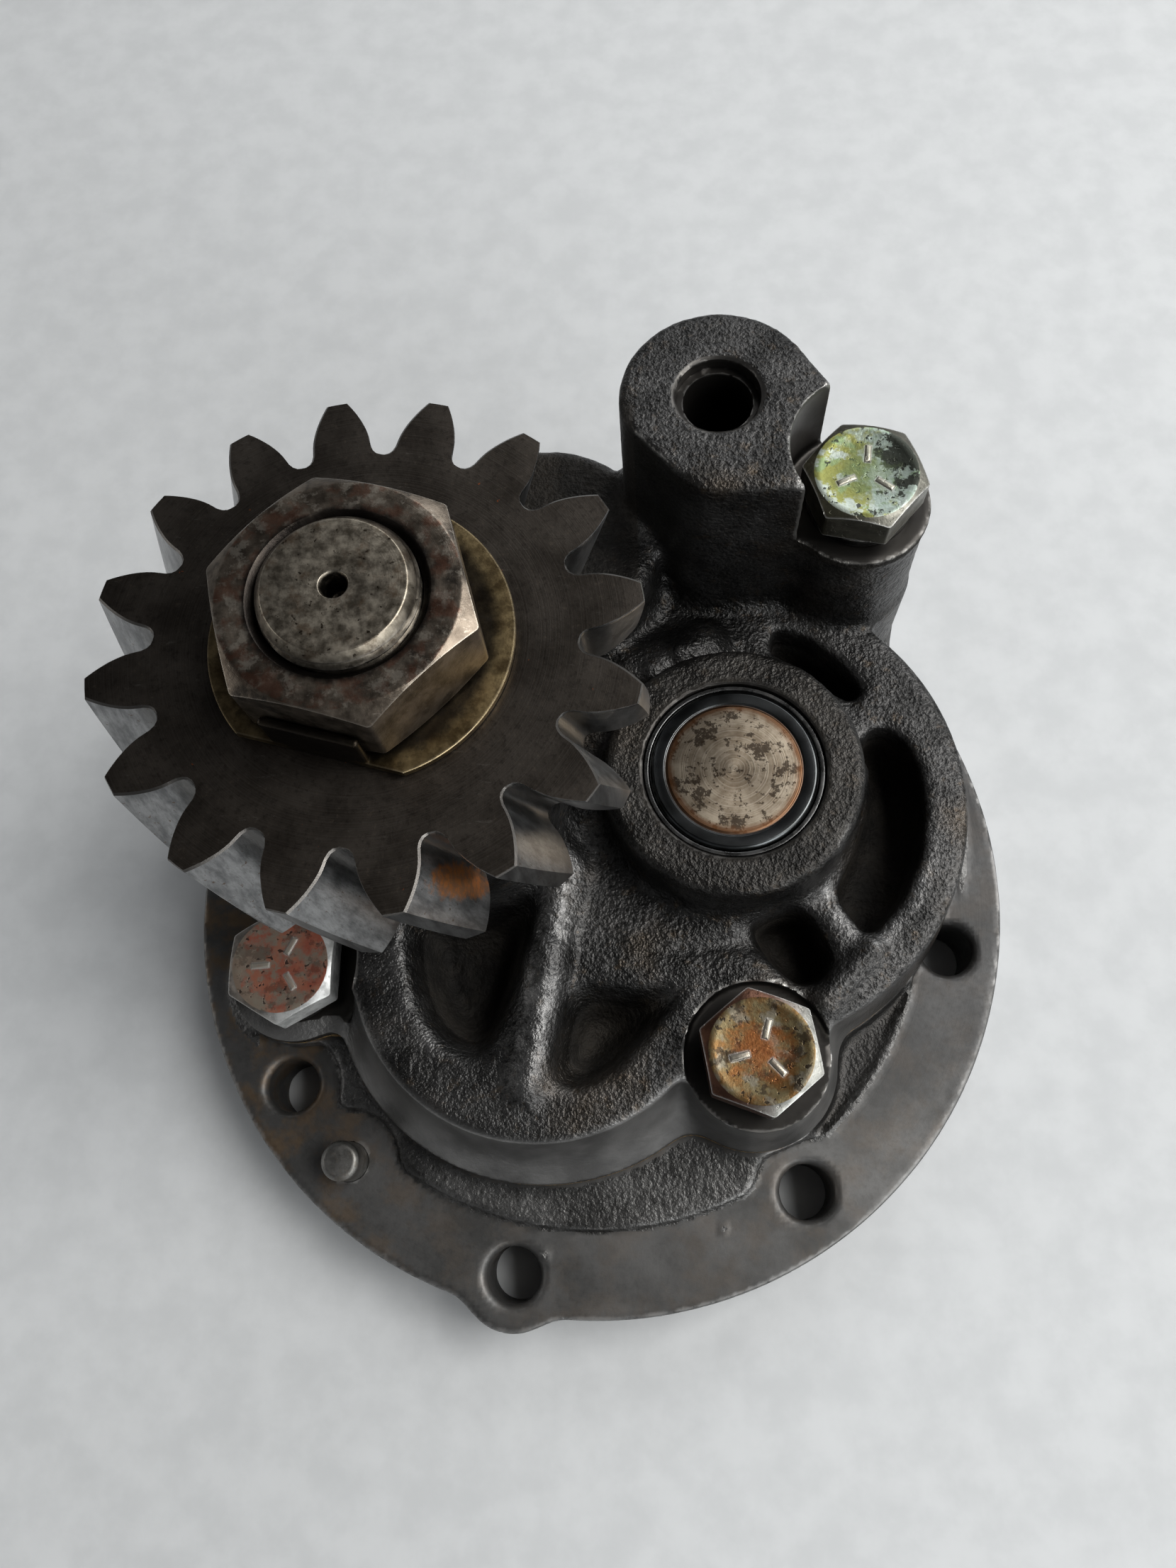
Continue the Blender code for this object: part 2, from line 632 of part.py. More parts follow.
def build_pump_gear_key(name, axis):
    make_part(name, key_block(9.0, 14.8, KEY_HALF, 5.1, 15.1), STEEL, parent=axis)


def build_helical_gear_key(axis):
    make_part("gear_key", key_block(7.7, 13.3, KEY_HALF, 77.6, 95.0), STEEL, parent=axis)


# ---------------------------------------------------------------- bushes and thrust washer
DRIVE_BUSH = (JOURNAL_R + RUNNING_GAP, DRIVE_BUSH_R)            # inner and outer radius
IDLER_BUSH = (IDLER_SHAFT_R + RUNNING_GAP, IDLER_BUSH_R)
# name, axis, radii, bottom, top, segments
BUSHES = (
    ("drive_bush_lower", DRIVE, DRIVE_BUSH, 16.4, 38.0, 32),
    ("drive_bush_upper", DRIVE, DRIVE_BUSH, 50.0, 71.8, 32),
    ("idler_bush_lower", IDLER, IDLER_BUSH, 16.8, 29.8, 40),
    ("idler_bush_upper", IDLER, IDLER_BUSH, 31.0, 44.2, 40),
)


def build_bushes():
    for name, centre, radii, bottom, top, segments in BUSHES:
        make_part(name, tube(*radii, bottom, top, segments), BRONZE, at=centre)


def build_thrust_washer(axis):
    make_part("thrust_washer", tube(12.3, 18.0, 72.3, 73.7, 32), BRONZE, parent=axis)


# ---------------------------------------------------------------- nut and tab washer
NUT_AF = 30.0              # across flats
NUT_Z = (98.9, 110.2)
NUT_TURN = 44.8
TAB_WASHER_R = 19.8
TAB_WASHER_Z = (97.5, 98.7)
TAB_NEAR = NUT_AF / 2 + 0.15
TAB_FAR = NUT_AF / 2 + 1.35
TAB_HALF = 7.2
TAB_TOP = 104.6


def build_nut(axis):
    bottom, top = NUT_Z
    nut = make_part("shaft_nut", prism(hexagon(NUT_AF, NUT_TURN), bottom, top), NUT_STEEL,
                    parent=axis, sharp_angle=25)
    boolean(nut, crown(NUT_AF, bottom - 0.01, top - 0.01, 24, both_ends=True), "INTERSECT",
            "crown")
    cut(nut, cylinder(ORIGIN, THREAD_R + BORE_GAP, 90, 120, 32), "thread_bore")
    cut(nut, cone(ORIGIN, THREAD_R - 0.4, THREAD_R + 1.6, top - 1.3, top + 0.7, 32),
        "countersink")


def build_tab_washer(axis):
    """Round washer with one side bent up against a flat of the nut."""
    outward = Vector(polar(1.0, NUT_TURN - 150.0))
    washer = make_part("tab_washer", cylinder(ORIGIN, TAB_WASHER_R, *TAB_WASHER_Z, 36),
                       WASHER_YELLOW, parent=axis)
    add(washer, slab(outward, TAB_NEAR, TAB_FAR, TAB_HALF, TAB_WASHER_Z[0] + 0.3, TAB_TOP),
        "bent_tab")
    cut(washer, cylinder(ORIGIN, THREAD_R + 0.15, 90, 100, 32), "bore")
    cut(washer, slab(outward, TAB_FAR, 30, 30, 90, 99.5), "bent_side")


# ---------------------------------------------------------------- bolts and spring washers
BOLT_MATERIALS = {"a": BOLT_GREEN, "b": BOLT_YELLOW, "c": BOLT_RED, "d": BOLT_YELLOW}
HEAD_AF = 18.0             # across flats
HEAD_H = 6.4
SHANK_R = 4.85
BOLT_END_Z = 3.2
SPRING_INNER_R = 5.3
SPRING_OUTER_R = 8.9
SPRING_GAP = 0.12          # half of the split's angle, radians
SPRING_LIFT = 0.25         # rise from one end to the other


def build_bolt(name, bolt, material):
    under = bolt.seat + WASHER_T + 0.1
    top = under + HEAD_H
    part = make_part(name, prism(hexagon(HEAD_AF, bolt.turn), under, top), material,
                     at=bolt.centre, sharp_angle=25)
    boolean(part, crown(HEAD_AF, under - 0.01, top - 0.01, 18), "INTERSECT", "crown",
            parent=part)
    # the shank runs 2 mm up into the head
    shank = lathe([(0, BOLT_END_Z), (3.9, BOLT_END_Z), (SHANK_R, BOLT_END_Z + 1.0),
                   (SHANK_R, under + 2.0), (0, under + 2.0)], 12)
    boolean(part, shank, "UNION", "shank", parent=part)


def build_spring_washer(name, bolt, steps=20):
    """Split ring that climbs a little on its way round."""
    bottom, top = bolt.seat + 0.05, bolt.seat + WASHER_T - SPRING_LIFT
    section = ((SPRING_INNER_R, bottom), (SPRING_OUTER_R, bottom),
               (SPRING_OUTER_R, top), (SPRING_INNER_R, top))
    start = math.radians(bolt.turn) + SPRING_GAP
    rings = []
    for i in range(steps + 1):
        angle = start + (2 * math.pi - 2 * SPRING_GAP) * i / steps
        lift = SPRING_LIFT * i / steps
        rings.append([(radius * math.cos(angle), radius * math.sin(angle), z + lift)
                      for radius, z in section])
    make_part(name, loft(rings), SPRING_STEEL, at=bolt.centre)


# ---------------------------------------------------------------- dowel pins
# pin profiles: (radius, z)
FLANGE_PIN_PROFILE = [(0, 4.2), (2.8, 4.2), (FLANGE_DOWEL_R, 5.0), (FLANGE_DOWEL_R, 20.4),
                      (2.8, 21.0), (0, 21.0)]
COVER_PIN_PROFILE = [(0, 7.3), (2.5, 7.3), (COVER_DOWEL_R, 7.9), (COVER_DOWEL_R, 23.0),
                     (2.5, 23.6), (0, 23.6)]


def build_dowels():
    make_part("flange_dowel_pin", lathe(FLANGE_PIN_PROFILE, 16), STEEL, at=FLANGE_DOWEL)
    for i, centre in COVER_DOWELS.items():
        make_part(f"cover_dowel_pin_{i + 1}", lathe(COVER_PIN_PROFILE, 14), STEEL, at=centre)


# ---------------------------------------------------------------- assembly
build_body()
build_gasket()
build_cover()

drive_axis = make_axis("drive_axis", DRIVE)
idler_axis = make_axis("idler_axis", IDLER)
build_pump_gear("pump_drive_gear", 0.0, drive_axis)
# half a tooth out, so that the idler's teeth meet the drive gear's gaps
build_pump_gear("pump_idler_gear", math.pi + math.pi / PUMP_TEETH, idler_axis)
build_helical_gear(drive_axis)
build_drive_shaft(drive_axis)
build_pump_gear_key("pump_gear_key", drive_axis)
build_helical_gear_key(drive_axis)
build_idler_shaft(idler_axis)
build_pump_gear_key("idler_gear_key", idler_axis)
build_bushes()
build_thrust_washer(drive_axis)
build_nut(drive_axis)
build_tab_washer(drive_axis)
for key, bolt in BOLTS.items():
    build_bolt("cover_bolt_" + key, bolt, BOLT_MATERIALS[key])
    build_spring_washer("spring_washer_" + key, bolt)
build_dowels()
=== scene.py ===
"""A gear pump: flanged body, cast cover, two shafts and a helical wheel on the drive shaft.

It stands on its flange. The flange is centred on x = y = 0 with its underside at z = 0, and
both shafts point up (+Z). Right is +X, left is -X, front is -Y and back is +Y.
Lengths are in mm unless a comment says otherwise; meshes are scaled to metres as they are made.
"""
import math
from functools import reduce
from itertools import product

import bmesh
import bpy
import numpy as np
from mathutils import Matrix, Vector


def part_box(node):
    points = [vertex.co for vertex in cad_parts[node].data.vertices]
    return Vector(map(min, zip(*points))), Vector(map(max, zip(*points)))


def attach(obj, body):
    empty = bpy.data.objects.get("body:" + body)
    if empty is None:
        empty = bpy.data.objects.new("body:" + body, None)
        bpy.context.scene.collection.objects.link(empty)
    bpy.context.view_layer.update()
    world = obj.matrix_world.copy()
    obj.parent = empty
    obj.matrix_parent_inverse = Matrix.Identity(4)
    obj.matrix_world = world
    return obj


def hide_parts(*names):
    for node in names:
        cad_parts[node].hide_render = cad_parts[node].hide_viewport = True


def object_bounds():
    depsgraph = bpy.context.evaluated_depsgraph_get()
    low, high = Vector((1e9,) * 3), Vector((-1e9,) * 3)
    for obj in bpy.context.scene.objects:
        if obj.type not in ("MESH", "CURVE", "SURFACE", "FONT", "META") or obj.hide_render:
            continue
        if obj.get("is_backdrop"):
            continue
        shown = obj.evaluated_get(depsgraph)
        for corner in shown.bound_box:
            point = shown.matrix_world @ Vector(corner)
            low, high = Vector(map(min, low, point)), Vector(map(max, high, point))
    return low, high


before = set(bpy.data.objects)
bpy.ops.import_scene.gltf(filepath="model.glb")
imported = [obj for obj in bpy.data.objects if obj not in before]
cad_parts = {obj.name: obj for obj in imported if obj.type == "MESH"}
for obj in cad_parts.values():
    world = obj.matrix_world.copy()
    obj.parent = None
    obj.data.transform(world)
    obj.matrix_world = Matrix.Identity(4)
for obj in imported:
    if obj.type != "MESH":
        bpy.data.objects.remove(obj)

CAD_LO, CAD_HI = (Vector(v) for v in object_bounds())
MM = 0.001          # metres in a millimetre


# ---------------------------------------------------------------- places read from the frame
def centre(node):
    low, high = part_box(node)
    return ((low + high) / 2 / MM).xy


def z_span(node):
    low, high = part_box(node)
    return low.z / MM, high.z / MM


DRIVE = centre("thrust_washer")             # axis of the drive shaft
IDLER = centre("idler_bush_upper")          # axis of the idler shaft
BOLT = {k: centre("cover_bolt_" + k) for k in "abcd"}
BOLT_Z = {k: z_span("cover_bolt_" + k) for k in "abcd"}
SEAT = {k: z_span("spring_washer_" + k)[0] - 0.05 for k in "abcd"}
GEAR_Z = z_span("helical_drive_gear")
NUT_Z = z_span("shaft_nut")
TAB_WASHER_Z = z_span("tab_washer")[0]
SHAFT_TOP = z_span("drive_shaft")[1]
IDLER_TOP = z_span("idler_shaft")[1]
COVER_Z0, COVER_Z1 = z_span("pump_cover")
SPLIT_Z = z_span("pump_body")[1]
GASKET_Z = z_span("cover_gasket")
PUMP_GEAR_Z = z_span("pump_drive_gear")
COVER_DOWELS = ("cover_dowel_pin_1", "cover_dowel_pin_2")
DOWEL_R = {"flange_dowel_pin": 3.4, "cover_dowel_pin_1": 3.0, "cover_dowel_pin_2": 3.0}
DOWEL = {n: centre(n) for n in DOWEL_R}


# ---------------------------------------------------------------- driving dimensions
def polar(radius, degrees):
    angle = math.radians(degrees)
    return radius * math.cos(angle), radius * math.sin(angle)


FLANGE_R, FLANGE_T = 75.0, 13.7
HOLE_R = 4.7
HOLES = [polar(65.6, a) for a in (-11.2, -56.2, -147.0, 168.8, 123.8)]
LUG = polar(69.3, -101.8)                   # ear at the front with the sixth hole
RIM_Z = 34.0                                # top of the cover's wall
CHAMBER_FLOOR, CHAMBER_R = 4.4, 28.69
MID_X = 0.5 * (DRIVE.x + IDLER.x)
BOSS_FOOT_Z = 17.0                          # where the tapers of the bosses end
DRIVE_BOSS_TOP, IDLER_BOSS_TOP, ROUND_BOSS_TOP = 72.0, 45.0, 45.0
ROUND_BOSS = (-7.0, 56.0)
COLUMN, COLUMN_R = (47.3, 55.6), 12.2       # column under bolt a
DRIVE_BORE_R = 15.12
IDLER_R, IDLER_BUSH_R = 14.1, 15.2
JOURNAL_R = 12.0
COVER_DOWEL_HOLE_R, FLANGE_DOWEL_HOLE_R = 3.08, 3.46
PORT = Vector((23.5, 66.1))
PORT_TOP = COVER_Z1
FLAT_NORMAL = Vector((-0.769, -0.640))      # flat milled on the port boss
FLAT_DISTANCE, FLAT_Z = 14.5, 36.0          # from the port's axis; lowest point of the flat
FLAT_X = PORT.x + FLAT_NORMAL.x * FLAT_DISTANCE
FLAT_Y = PORT.y + FLAT_NORMAL.y * FLAT_DISTANCE

# Capsules are (start, end, start radius, end radius)
RIB_A = ((-4.0, -1.0, 32.2), (-7.0, -17.5, 33.0), 3.2, 2.8)
RIB_B = ((-7.0, -17.5, 33.0), (-10.4, -37.4, 32.0), 2.8, 2.4)
SUCTION = ((MID_X, DRIVE.y - 17.0, 0), (MID_X, DRIVE.y - 23.0, 0), 9.0, 8.0)
PRESSURE = ((MID_X, DRIVE.y + 15.5, 0), (PORT.x, PORT.y, 0), 7.5, 6.3)
# Lumps on the cover: capsule and how widely it blends in
LUMPS = (((8.5, 35.5, 31.0), (21.0, 39.5, 33.0), 5.0, 4.0, 4.0),
         ((12.0, 34.6, 35.2), (13.2, 35.6, 35.4), 1.6, 1.3, 2.0),
         ((17.0, 37.6, 36.2), (18.4, 37.9, 36.2), 1.5, 1.2, 2.0),
         ((39.4, -24.6, 32.0), (47.6, -16.4, 32.4), 1.9, 1.7, 2.0))

# ---------------------------------------------------------------- seeded lattice noise
LATTICE = np.random.default_rng(11).random((64, 64, 64), dtype=np.float32) * 2 - 1


def lattice_noise(x, y, z, size):
    """Smooth value noise between -1 and 1 with features about this many mm across."""
    low, high, blend = [], [], []
    for value, shift in ((x, 3.7), (y, 11.3), (z, 5.9)):
        value = np.asarray(value, np.float32) / np.float32(size) + np.float32(100 + shift)
        cell = np.floor(value)
        part = value - cell
        cell = cell.astype(np.int32)
        low.append(cell & 63)
        high.append((cell + 1) & 63)
        blend.append(part * part * (3 - 2 * part))
    (x0, y0, z0), (x1, y1, z1), (u, v, w) = low, high, blend

    def along_x(row, layer):
        return LATTICE[x0, row, layer] * (1 - u) + LATTICE[x1, row, layer] * u
    under = along_x(y0, z0) * (1 - v) + along_x(y1, z0) * v
    over = along_x(y0, z1) * (1 - v) + along_x(y1, z1) * v
    return under * (1 - w) + over * w


# ---------------------------------------------------------------- signed distances, negative inside
def clip01(value):
    return np.clip(value, 0, 1)


def union(a, b, blend):
    share = clip01(0.5 + 0.5 * (b - a) / blend)
    return b + (a - b) * share - blend * share * (1 - share)


def intersect(a, b, blend):
    return -union(-a, -b, blend)


def cut(solid, tool, blend):
    return intersect(solid, -tool, blend)


def nearest(solids):
    return reduce(np.minimum, solids)


def circle(x, y, middle, radius):
    return np.hypot(x - middle[0], y - middle[1]) - radius


def blind_hole(side, z, floor):
    return np.maximum(side, floor - z)


def capsule(x, y, z, start, end, start_r, end_r):
    ax, ay, az = start
    dx, dy, dz = end[0] - ax, end[1] - ay, end[2] - az
    t = ((x - ax) * dx + (y - ay) * dy + (z - az) * dz) / (dx * dx + dy * dy + dz * dz)
    t = clip01(t)
    distance = np.sqrt((x - ax - t * dx) ** 2 + (y - ay - t * dy) ** 2 + (z - az - t * dz) ** 2)
    return distance - (start_r + (end_r - start_r) * t)


def polygon(x, y, points):
    best = np.full(np.broadcast(x, y).shape, 1e9, np.float32)
    inside = np.zeros(best.shape, bool)
    for (x0, y0), (x1, y1) in zip(points, points[1:] + points[:1]):
        ex, ey = x1 - x0, y1 - y0
        t = clip01(((x - x0) * ex + (y - y0) * ey) / (ex * ex + ey * ey))
        best = np.minimum(best, np.hypot(x - x0 - t * ex, y - y0 - t * ey))
        if abs(ey) > 1e-9:
            inside ^= ((y0 > y) != (y1 > y)) & (x < ex * (y - y0) / ey + x0)
    return np.where(inside, -best, best)


def ring_points(middle_x, middle_y, radius, count):
    angles = [2 * math.pi * i / count for i in range(count)]
    return [(middle_x + radius * math.cos(a), middle_y + radius * math.sin(a)) for a in angles]


def hull(points):
    """Convex hull, counter-clockwise."""
    points = sorted(set((round(x, 6), round(y, 6)) for x, y in points))

    def half(sequence):
        out = []
        for p in sequence:
            while len(out) > 1 and ((out[-1][0] - out[-2][0]) * (p[1] - out[-2][1])
                                    - (out[-1][1] - out[-2][1]) * (p[0] - out[-2][0])) <= 0:
                out.pop()
            out.append(p)
        return out[:-1]
    return half(points) + half(points[::-1])


def many_circles(x, y, start, circles, blend):
    solid = start
    for cx, cy, radius in circles:
        solid = union(solid, circle(x, y, (cx, cy), radius), blend)
    return solid


class PlaneField:
    """A plane distance field sampled once, then read with linear interpolation."""

    LOW, HIGH, STEP = (-84.0, -84.0), (84.0, 90.0), 0.4

    def __init__(self, field):
        self.nx, self.ny = (int((self.HIGH[i] - self.LOW[i]) / self.STEP) + 2 for i in range(2))
        grid_x = (self.LOW[0] + self.STEP * np.arange(self.nx)).astype(np.float32)[:, None]
        grid_y = (self.LOW[1] + self.STEP * np.arange(self.ny)).astype(np.float32)[None, :]
        values = np.broadcast_to(field(grid_x, grid_y), (self.nx, self.ny))
        self.values = np.ascontiguousarray(values, np.float32)

    def softened(self, width):
        """The same field with its corners and inner creases rounded off."""
        n = int(3 * width / self.STEP)
        weights = np.exp(-0.5 * (np.arange(-n, n + 1) * self.STEP / width) ** 2)
        weights /= weights.sum()
        v = np.pad(self.values, n, mode="edge")
        v = sum(w * v[i:i + self.nx] for i, w in enumerate(weights))
        v = sum(w * v[:, j:j + self.ny] for j, w in enumerate(weights))
        self.values = np.ascontiguousarray(v, np.float32)
        return self

    def __call__(self, x, y):
        u = np.clip((x - self.LOW[0]) / self.STEP, 0, self.nx - 1.001)
        v = np.clip((y - self.LOW[1]) / self.STEP, 0, self.ny - 1.001)
        i, j = u.astype(np.int32), v.astype(np.int32)
        u, v = u - i, v - j
        near = self.values[i, j] * (1 - u) + self.values[i + 1, j] * u
        far = self.values[i, j + 1] * (1 - u) + self.values[i + 1, j + 1] * u
        return near * (1 - v) + far * v


# ---------------------------------------------------------------- outlines seen from above
PORT_HULL = hull(ring_points(PORT.x, PORT.y, 16.0, 72) + ring_points(35.5, 58.4, 10.0, 48)
                 + ring_points(22.5, 54.5, 6.0, 36))
# Circles (x, y, radius) that make the cover's wall at its top and at its foot
RIM_CIRCLES = ((23.0, 11.0, 43.1), (-8.6, -14.8, 32.2), (27.8, -33.4, 12.0),
               (-24.8, 12.3, 36.0), (*ROUND_BOSS, 20.4), (*COLUMN, COLUMN_R))
FOOT_CIRCLES = ((23.0, 11.0, 44.6), (-8.6, -14.8, 38.4), (27.8, -33.4, 14.6),
                (-24.8, 12.3, 37.5), (*ROUND_BOSS, 20.6), (*COLUMN, COLUMN_R),
                (-54.1, -16.5, 12.0), (-53.5, 35.0, 12.0))

port_wall = PlaneField(lambda x, y: polygon(x, y, PORT_HULL))
rim = PlaneField(lambda x, y: many_circles(x, y, polygon(x, y, PORT_HULL), RIM_CIRCLES, 3.0))
foot = PlaneField(
    lambda x, y: many_circles(x, y, polygon(x, y, PORT_HULL) - 0.2, FOOT_CIRCLES, 5.0))
flange = PlaneField(
    lambda x, y: union(union(circle(x, y, (0, 0), FLANGE_R), circle(x, y, LUG, 9.2), 2.5),
                       foot(x, y) - 0.5, 5.0))


def soft_outline(points, width):
    return PlaneField(lambda x, y: polygon(x, y, points)).softened(width)


# Hollows in the cover's top, each an outline of (x, y) points and the width of its rounding
right_kidney = soft_outline([
    (46.2, 21.1), (48.8, 21.8), (50.5, 24.2), (53.7, 24.1), (56.9, 21.1), (58.8, 15.7),
    (59.2, 8.7), (57.9, 0.2), (54.2, -7.6), (50.2, -12.1), (48.3, -13.9), (46.1, -13.6),
    (42.4, -8.0), (42.0, -5.8), (46.7, 5.0), (48.6, 9.5), (49.2, 16.0)], 0.9)
back_pocket = soft_outline([
    (33.0, 38.6), (38.6, 35.6), (43.6, 30.8), (46.6, 28.6), (49.3, 29.3), (49.6, 32.2),
    (46.0, 37.6), (40.5, 42.4), (34.0, 44.6)], 0.9)
front_pocket = soft_outline([
    (27.6, -11.6), (31.6, -8.6), (34.6, -7.8), (38.5, -12.0), (40.6, -17.4), (38.8, -20.9),
    (35.2, -21.5), (31.0, -17.6)], 1.1)
channel = soft_outline([
    (40.0, -12.5), (36.0, -8.0), (28.0, -10.5), (18.0, -12.6), (8.0, -14.2), (2.0, -15.6),
    (6.0, -18.6), (16.0, -18.4), (25.0, -18.0), (34.0, -20.5), (39.5, -19.0)], 1.6)
right_valley = soft_outline([
    (-3.4, -20.7), (2.0, -21.6), (8.1, -22.3), (17.1, -20.3), (15.5, -23.5), (10.4, -29.3),
    (5.4, -34.5), (0.6, -37.8), (-4.3, -39.2), (-7.3, -37.2), (-5.8, -31.6), (-4.3, -24.6)], 2.4)
left_valley = soft_outline([
    (-33.0, -4.0), (-32.4, -11.9), (-31.2, -19.5), (-29.0, -26.9), (-24.7, -31.4),
    (-17.8, -36.2), (-15.2, -32.0), (-11.8, -22.7), (-9.3, -14.4), (-7.2, -5.8),
    (-9.0, -2.0)], 2.8)

# Drafted pockets: outline, offset, floor z, draft, floor rounding, edge rounding
POCKETS = ((right_kidney, 0.2, 20.2, 0.08, 5.0, 1.7),
           (back_pocket, 0.0, 20.5, 0.12, 4.0, 2.0),
           (front_pocket, -1.2, 21.0, 0.20, 4.0, 2.4))
# Smooth-sided bowls: outline, offset, depth, width of the slope; all with one edge rounding
BOWLS = ((right_valley, -2.0, 11.4, 7.0), (channel, 0.0, 4.6, 4.6), (left_valley, -1.4, 13.0, 7.8))
BOWL_EDGE = 1.6


# ---------------------------------------------------------------- the cover as a distance field
def bowl(side, z, depth, width):
    """A hollow that starts at the outline and is full depth this far inside it."""
    t = clip01(-side / width)
    return (RIM_Z - depth * t * t * (3 - 2 * t) - z) * 0.6


def past_flat(x, y):
    return (x - FLAT_X) * FLAT_NORMAL.x + (y - FLAT_Y) * FLAT_NORMAL.y


def milled_flat(x, y, z):
    along = np.abs(-(x - FLAT_X) * FLAT_NORMAL.y + (y - FLAT_Y) * FLAT_NORMAL.x) - 22.0
    past = past_flat(x, y)
    return intersect(np.maximum(np.maximum(-past, along), past - 12.0), FLAT_Z - z, 1.2)


def tapered(x, y, z, middle, radius, top, spread):
    """Side of a boss that is wider by spread at its foot."""
    return circle(x, y, middle, radius) - spread * (top - z) / (top - BOSS_FOOT_Z)


def cover_cast(x, y, z):
    """The casting as it leaves the mould."""
    flare = clip01((RIM_Z - z) / 15.0) ** 2.1
    wall = (1 - flare) * rim(x, y) + flare * foot(x, y)
    sag = 0.35 * lattice_noise(x, y, z * 0.3, 13.0)
    solid = intersect(wall, z - RIM_Z + 0.1 + sag, 1.7)
    for outline, offset, floor, draft, floor_round, edge_round in POCKETS:
        side = outline(x, y) + offset + draft * (RIM_Z - z)
        solid = cut(solid, intersect(side, floor - z, floor_round), edge_round)
    for outline, offset, depth, width in BOWLS:
        solid = cut(solid, bowl(outline(x, y) + offset, z, depth, width), BOWL_EDGE)
    # rib between the valleys
    for rib in (RIB_A, RIB_B):
        solid = union(solid, capsule(x, y, z, *rib), 3.0)
    boss = intersect(tapered(x, y, z, IDLER, 21.7, IDLER_BOSS_TOP, 1.2), z - IDLER_BOSS_TOP, 1.8)
    solid = union(solid, boss, 3.2)
    boss = intersect(tapered(x, y, z, DRIVE, 19.5, DRIVE_BOSS_TOP, 2.6), z - DRIVE_BOSS_TOP, 1.5)
    solid = union(solid, boss, 6.0)
    boss = intersect(port_wall(x, y) + 0.05, z - PORT_TOP - 0.1, 1.5)
    solid = union(solid, cut(boss, milled_flat(x, y, z), 0.6), 3.0)
    side = tapered(x, y, z, ROUND_BOSS, 20.3, ROUND_BOSS_TOP, 0.5)
    solid = union(solid, intersect(side, z - ROUND_BOSS_TOP, 3.4), 4.0)
    # column of bolt a with a lip round its top
    seat = SEAT["a"]
    column = intersect(circle(x, y, COLUMN, 11.7) - 0.4 * clip01((seat - z) / 20.0),
                       z - seat - 0.05, 0.9)
    lip = intersect(circle(x, y, COLUMN, 12.0), np.abs(z - seat + 1.3) - 1.3, 0.8)
    solid = union(solid, union(column, lip, 0.8), 2.2)
    for *lump, blend in LUMPS:
        solid = union(solid, capsule(x, y, z, *lump), blend)
    return solid


def cover_cuts(x, y, z):
    """Everything the machining takes away."""
    cuts = [z - COVER_Z0]
    # spot faces: bolt, middle, radius, rounding
    for k, middle, radius, blend in (("a", COLUMN, 13.0, 0.9), ("b", BOLT["b"], 12.15, 0.8),
                                     ("c", BOLT["c"], 14.3, 1.6), ("d", BOLT["d"], 12.2, 0.8)):
        cuts.append(intersect(circle(x, y, middle, radius), SEAT[k] - z, blend))
    # bores with their chamfers
    cuts.append(circle(x, y, DRIVE, DRIVE_BORE_R) - np.clip(z - 71.3, 0, 2))
    cuts.append(circle(x, y, IDLER, IDLER_BUSH_R) - 0.12
                - np.clip(z - IDLER_BOSS_TOP + 0.25, 0, 3))
    cuts.append(circle(x, y, PORT, 5.65))
    cuts.append(blind_hole(circle(x, y, PORT, 6.86) - np.clip(z - PORT_TOP + 0.35, 0, 3),
                           z, PORT_TOP - 2.4))
    for k in "abcd":
        chamfer = np.clip(z - SEAT[k] + 0.5, 0, 0.8) * (z < SEAT[k] + 1)
        cuts.append(circle(x, y, BOLT[k], 5.4) - chamfer)
    for n in COVER_DOWELS:
        cuts.append(np.maximum(circle(x, y, DOWEL[n], COVER_DOWEL_HOLE_R), z - 24.0))
    return nearest(cuts)


def sand_skin(x, y, z, amplitude):
    """Sand-cast texture: rounded grains, with a slower wave under them."""
    return amplitude * (0.35 * lattice_noise(x, y, z, 1.9) + 0.8 * lattice_noise(y, z, x, 1.2)
                        + 0.3 * lattice_noise(z, x, y, 5.0))


def cover(x, y, z, fine):
    """(solid, distance to the machined faces); the sand skin is only added when fine."""
    solid = cover_cast(x, y, z)
    if fine:
        coarse = 1.0 - clip01((z - 60.0) / 4.0) * 0.5
        # the outer sweep and the milled flat are smoother
        band = clip01((34.5 - z) / 2.0) * clip01(foot(x, y) + 9.5)
        flat = (x - PORT.x) * FLAT_NORMAL.x + (y - PORT.y) * FLAT_NORMAL.y - FLAT_DISTANCE
        calm = clip01(2.0 - np.abs(flat)) * (z > FLAT_Z)
        solid = solid + sand_skin(x, y, z, 0.085) * coarse * (1 - 0.9 * np.maximum(band, calm))
    taken = cover_cuts(x, y, z)
    return cut(solid, taken, 0.45), taken


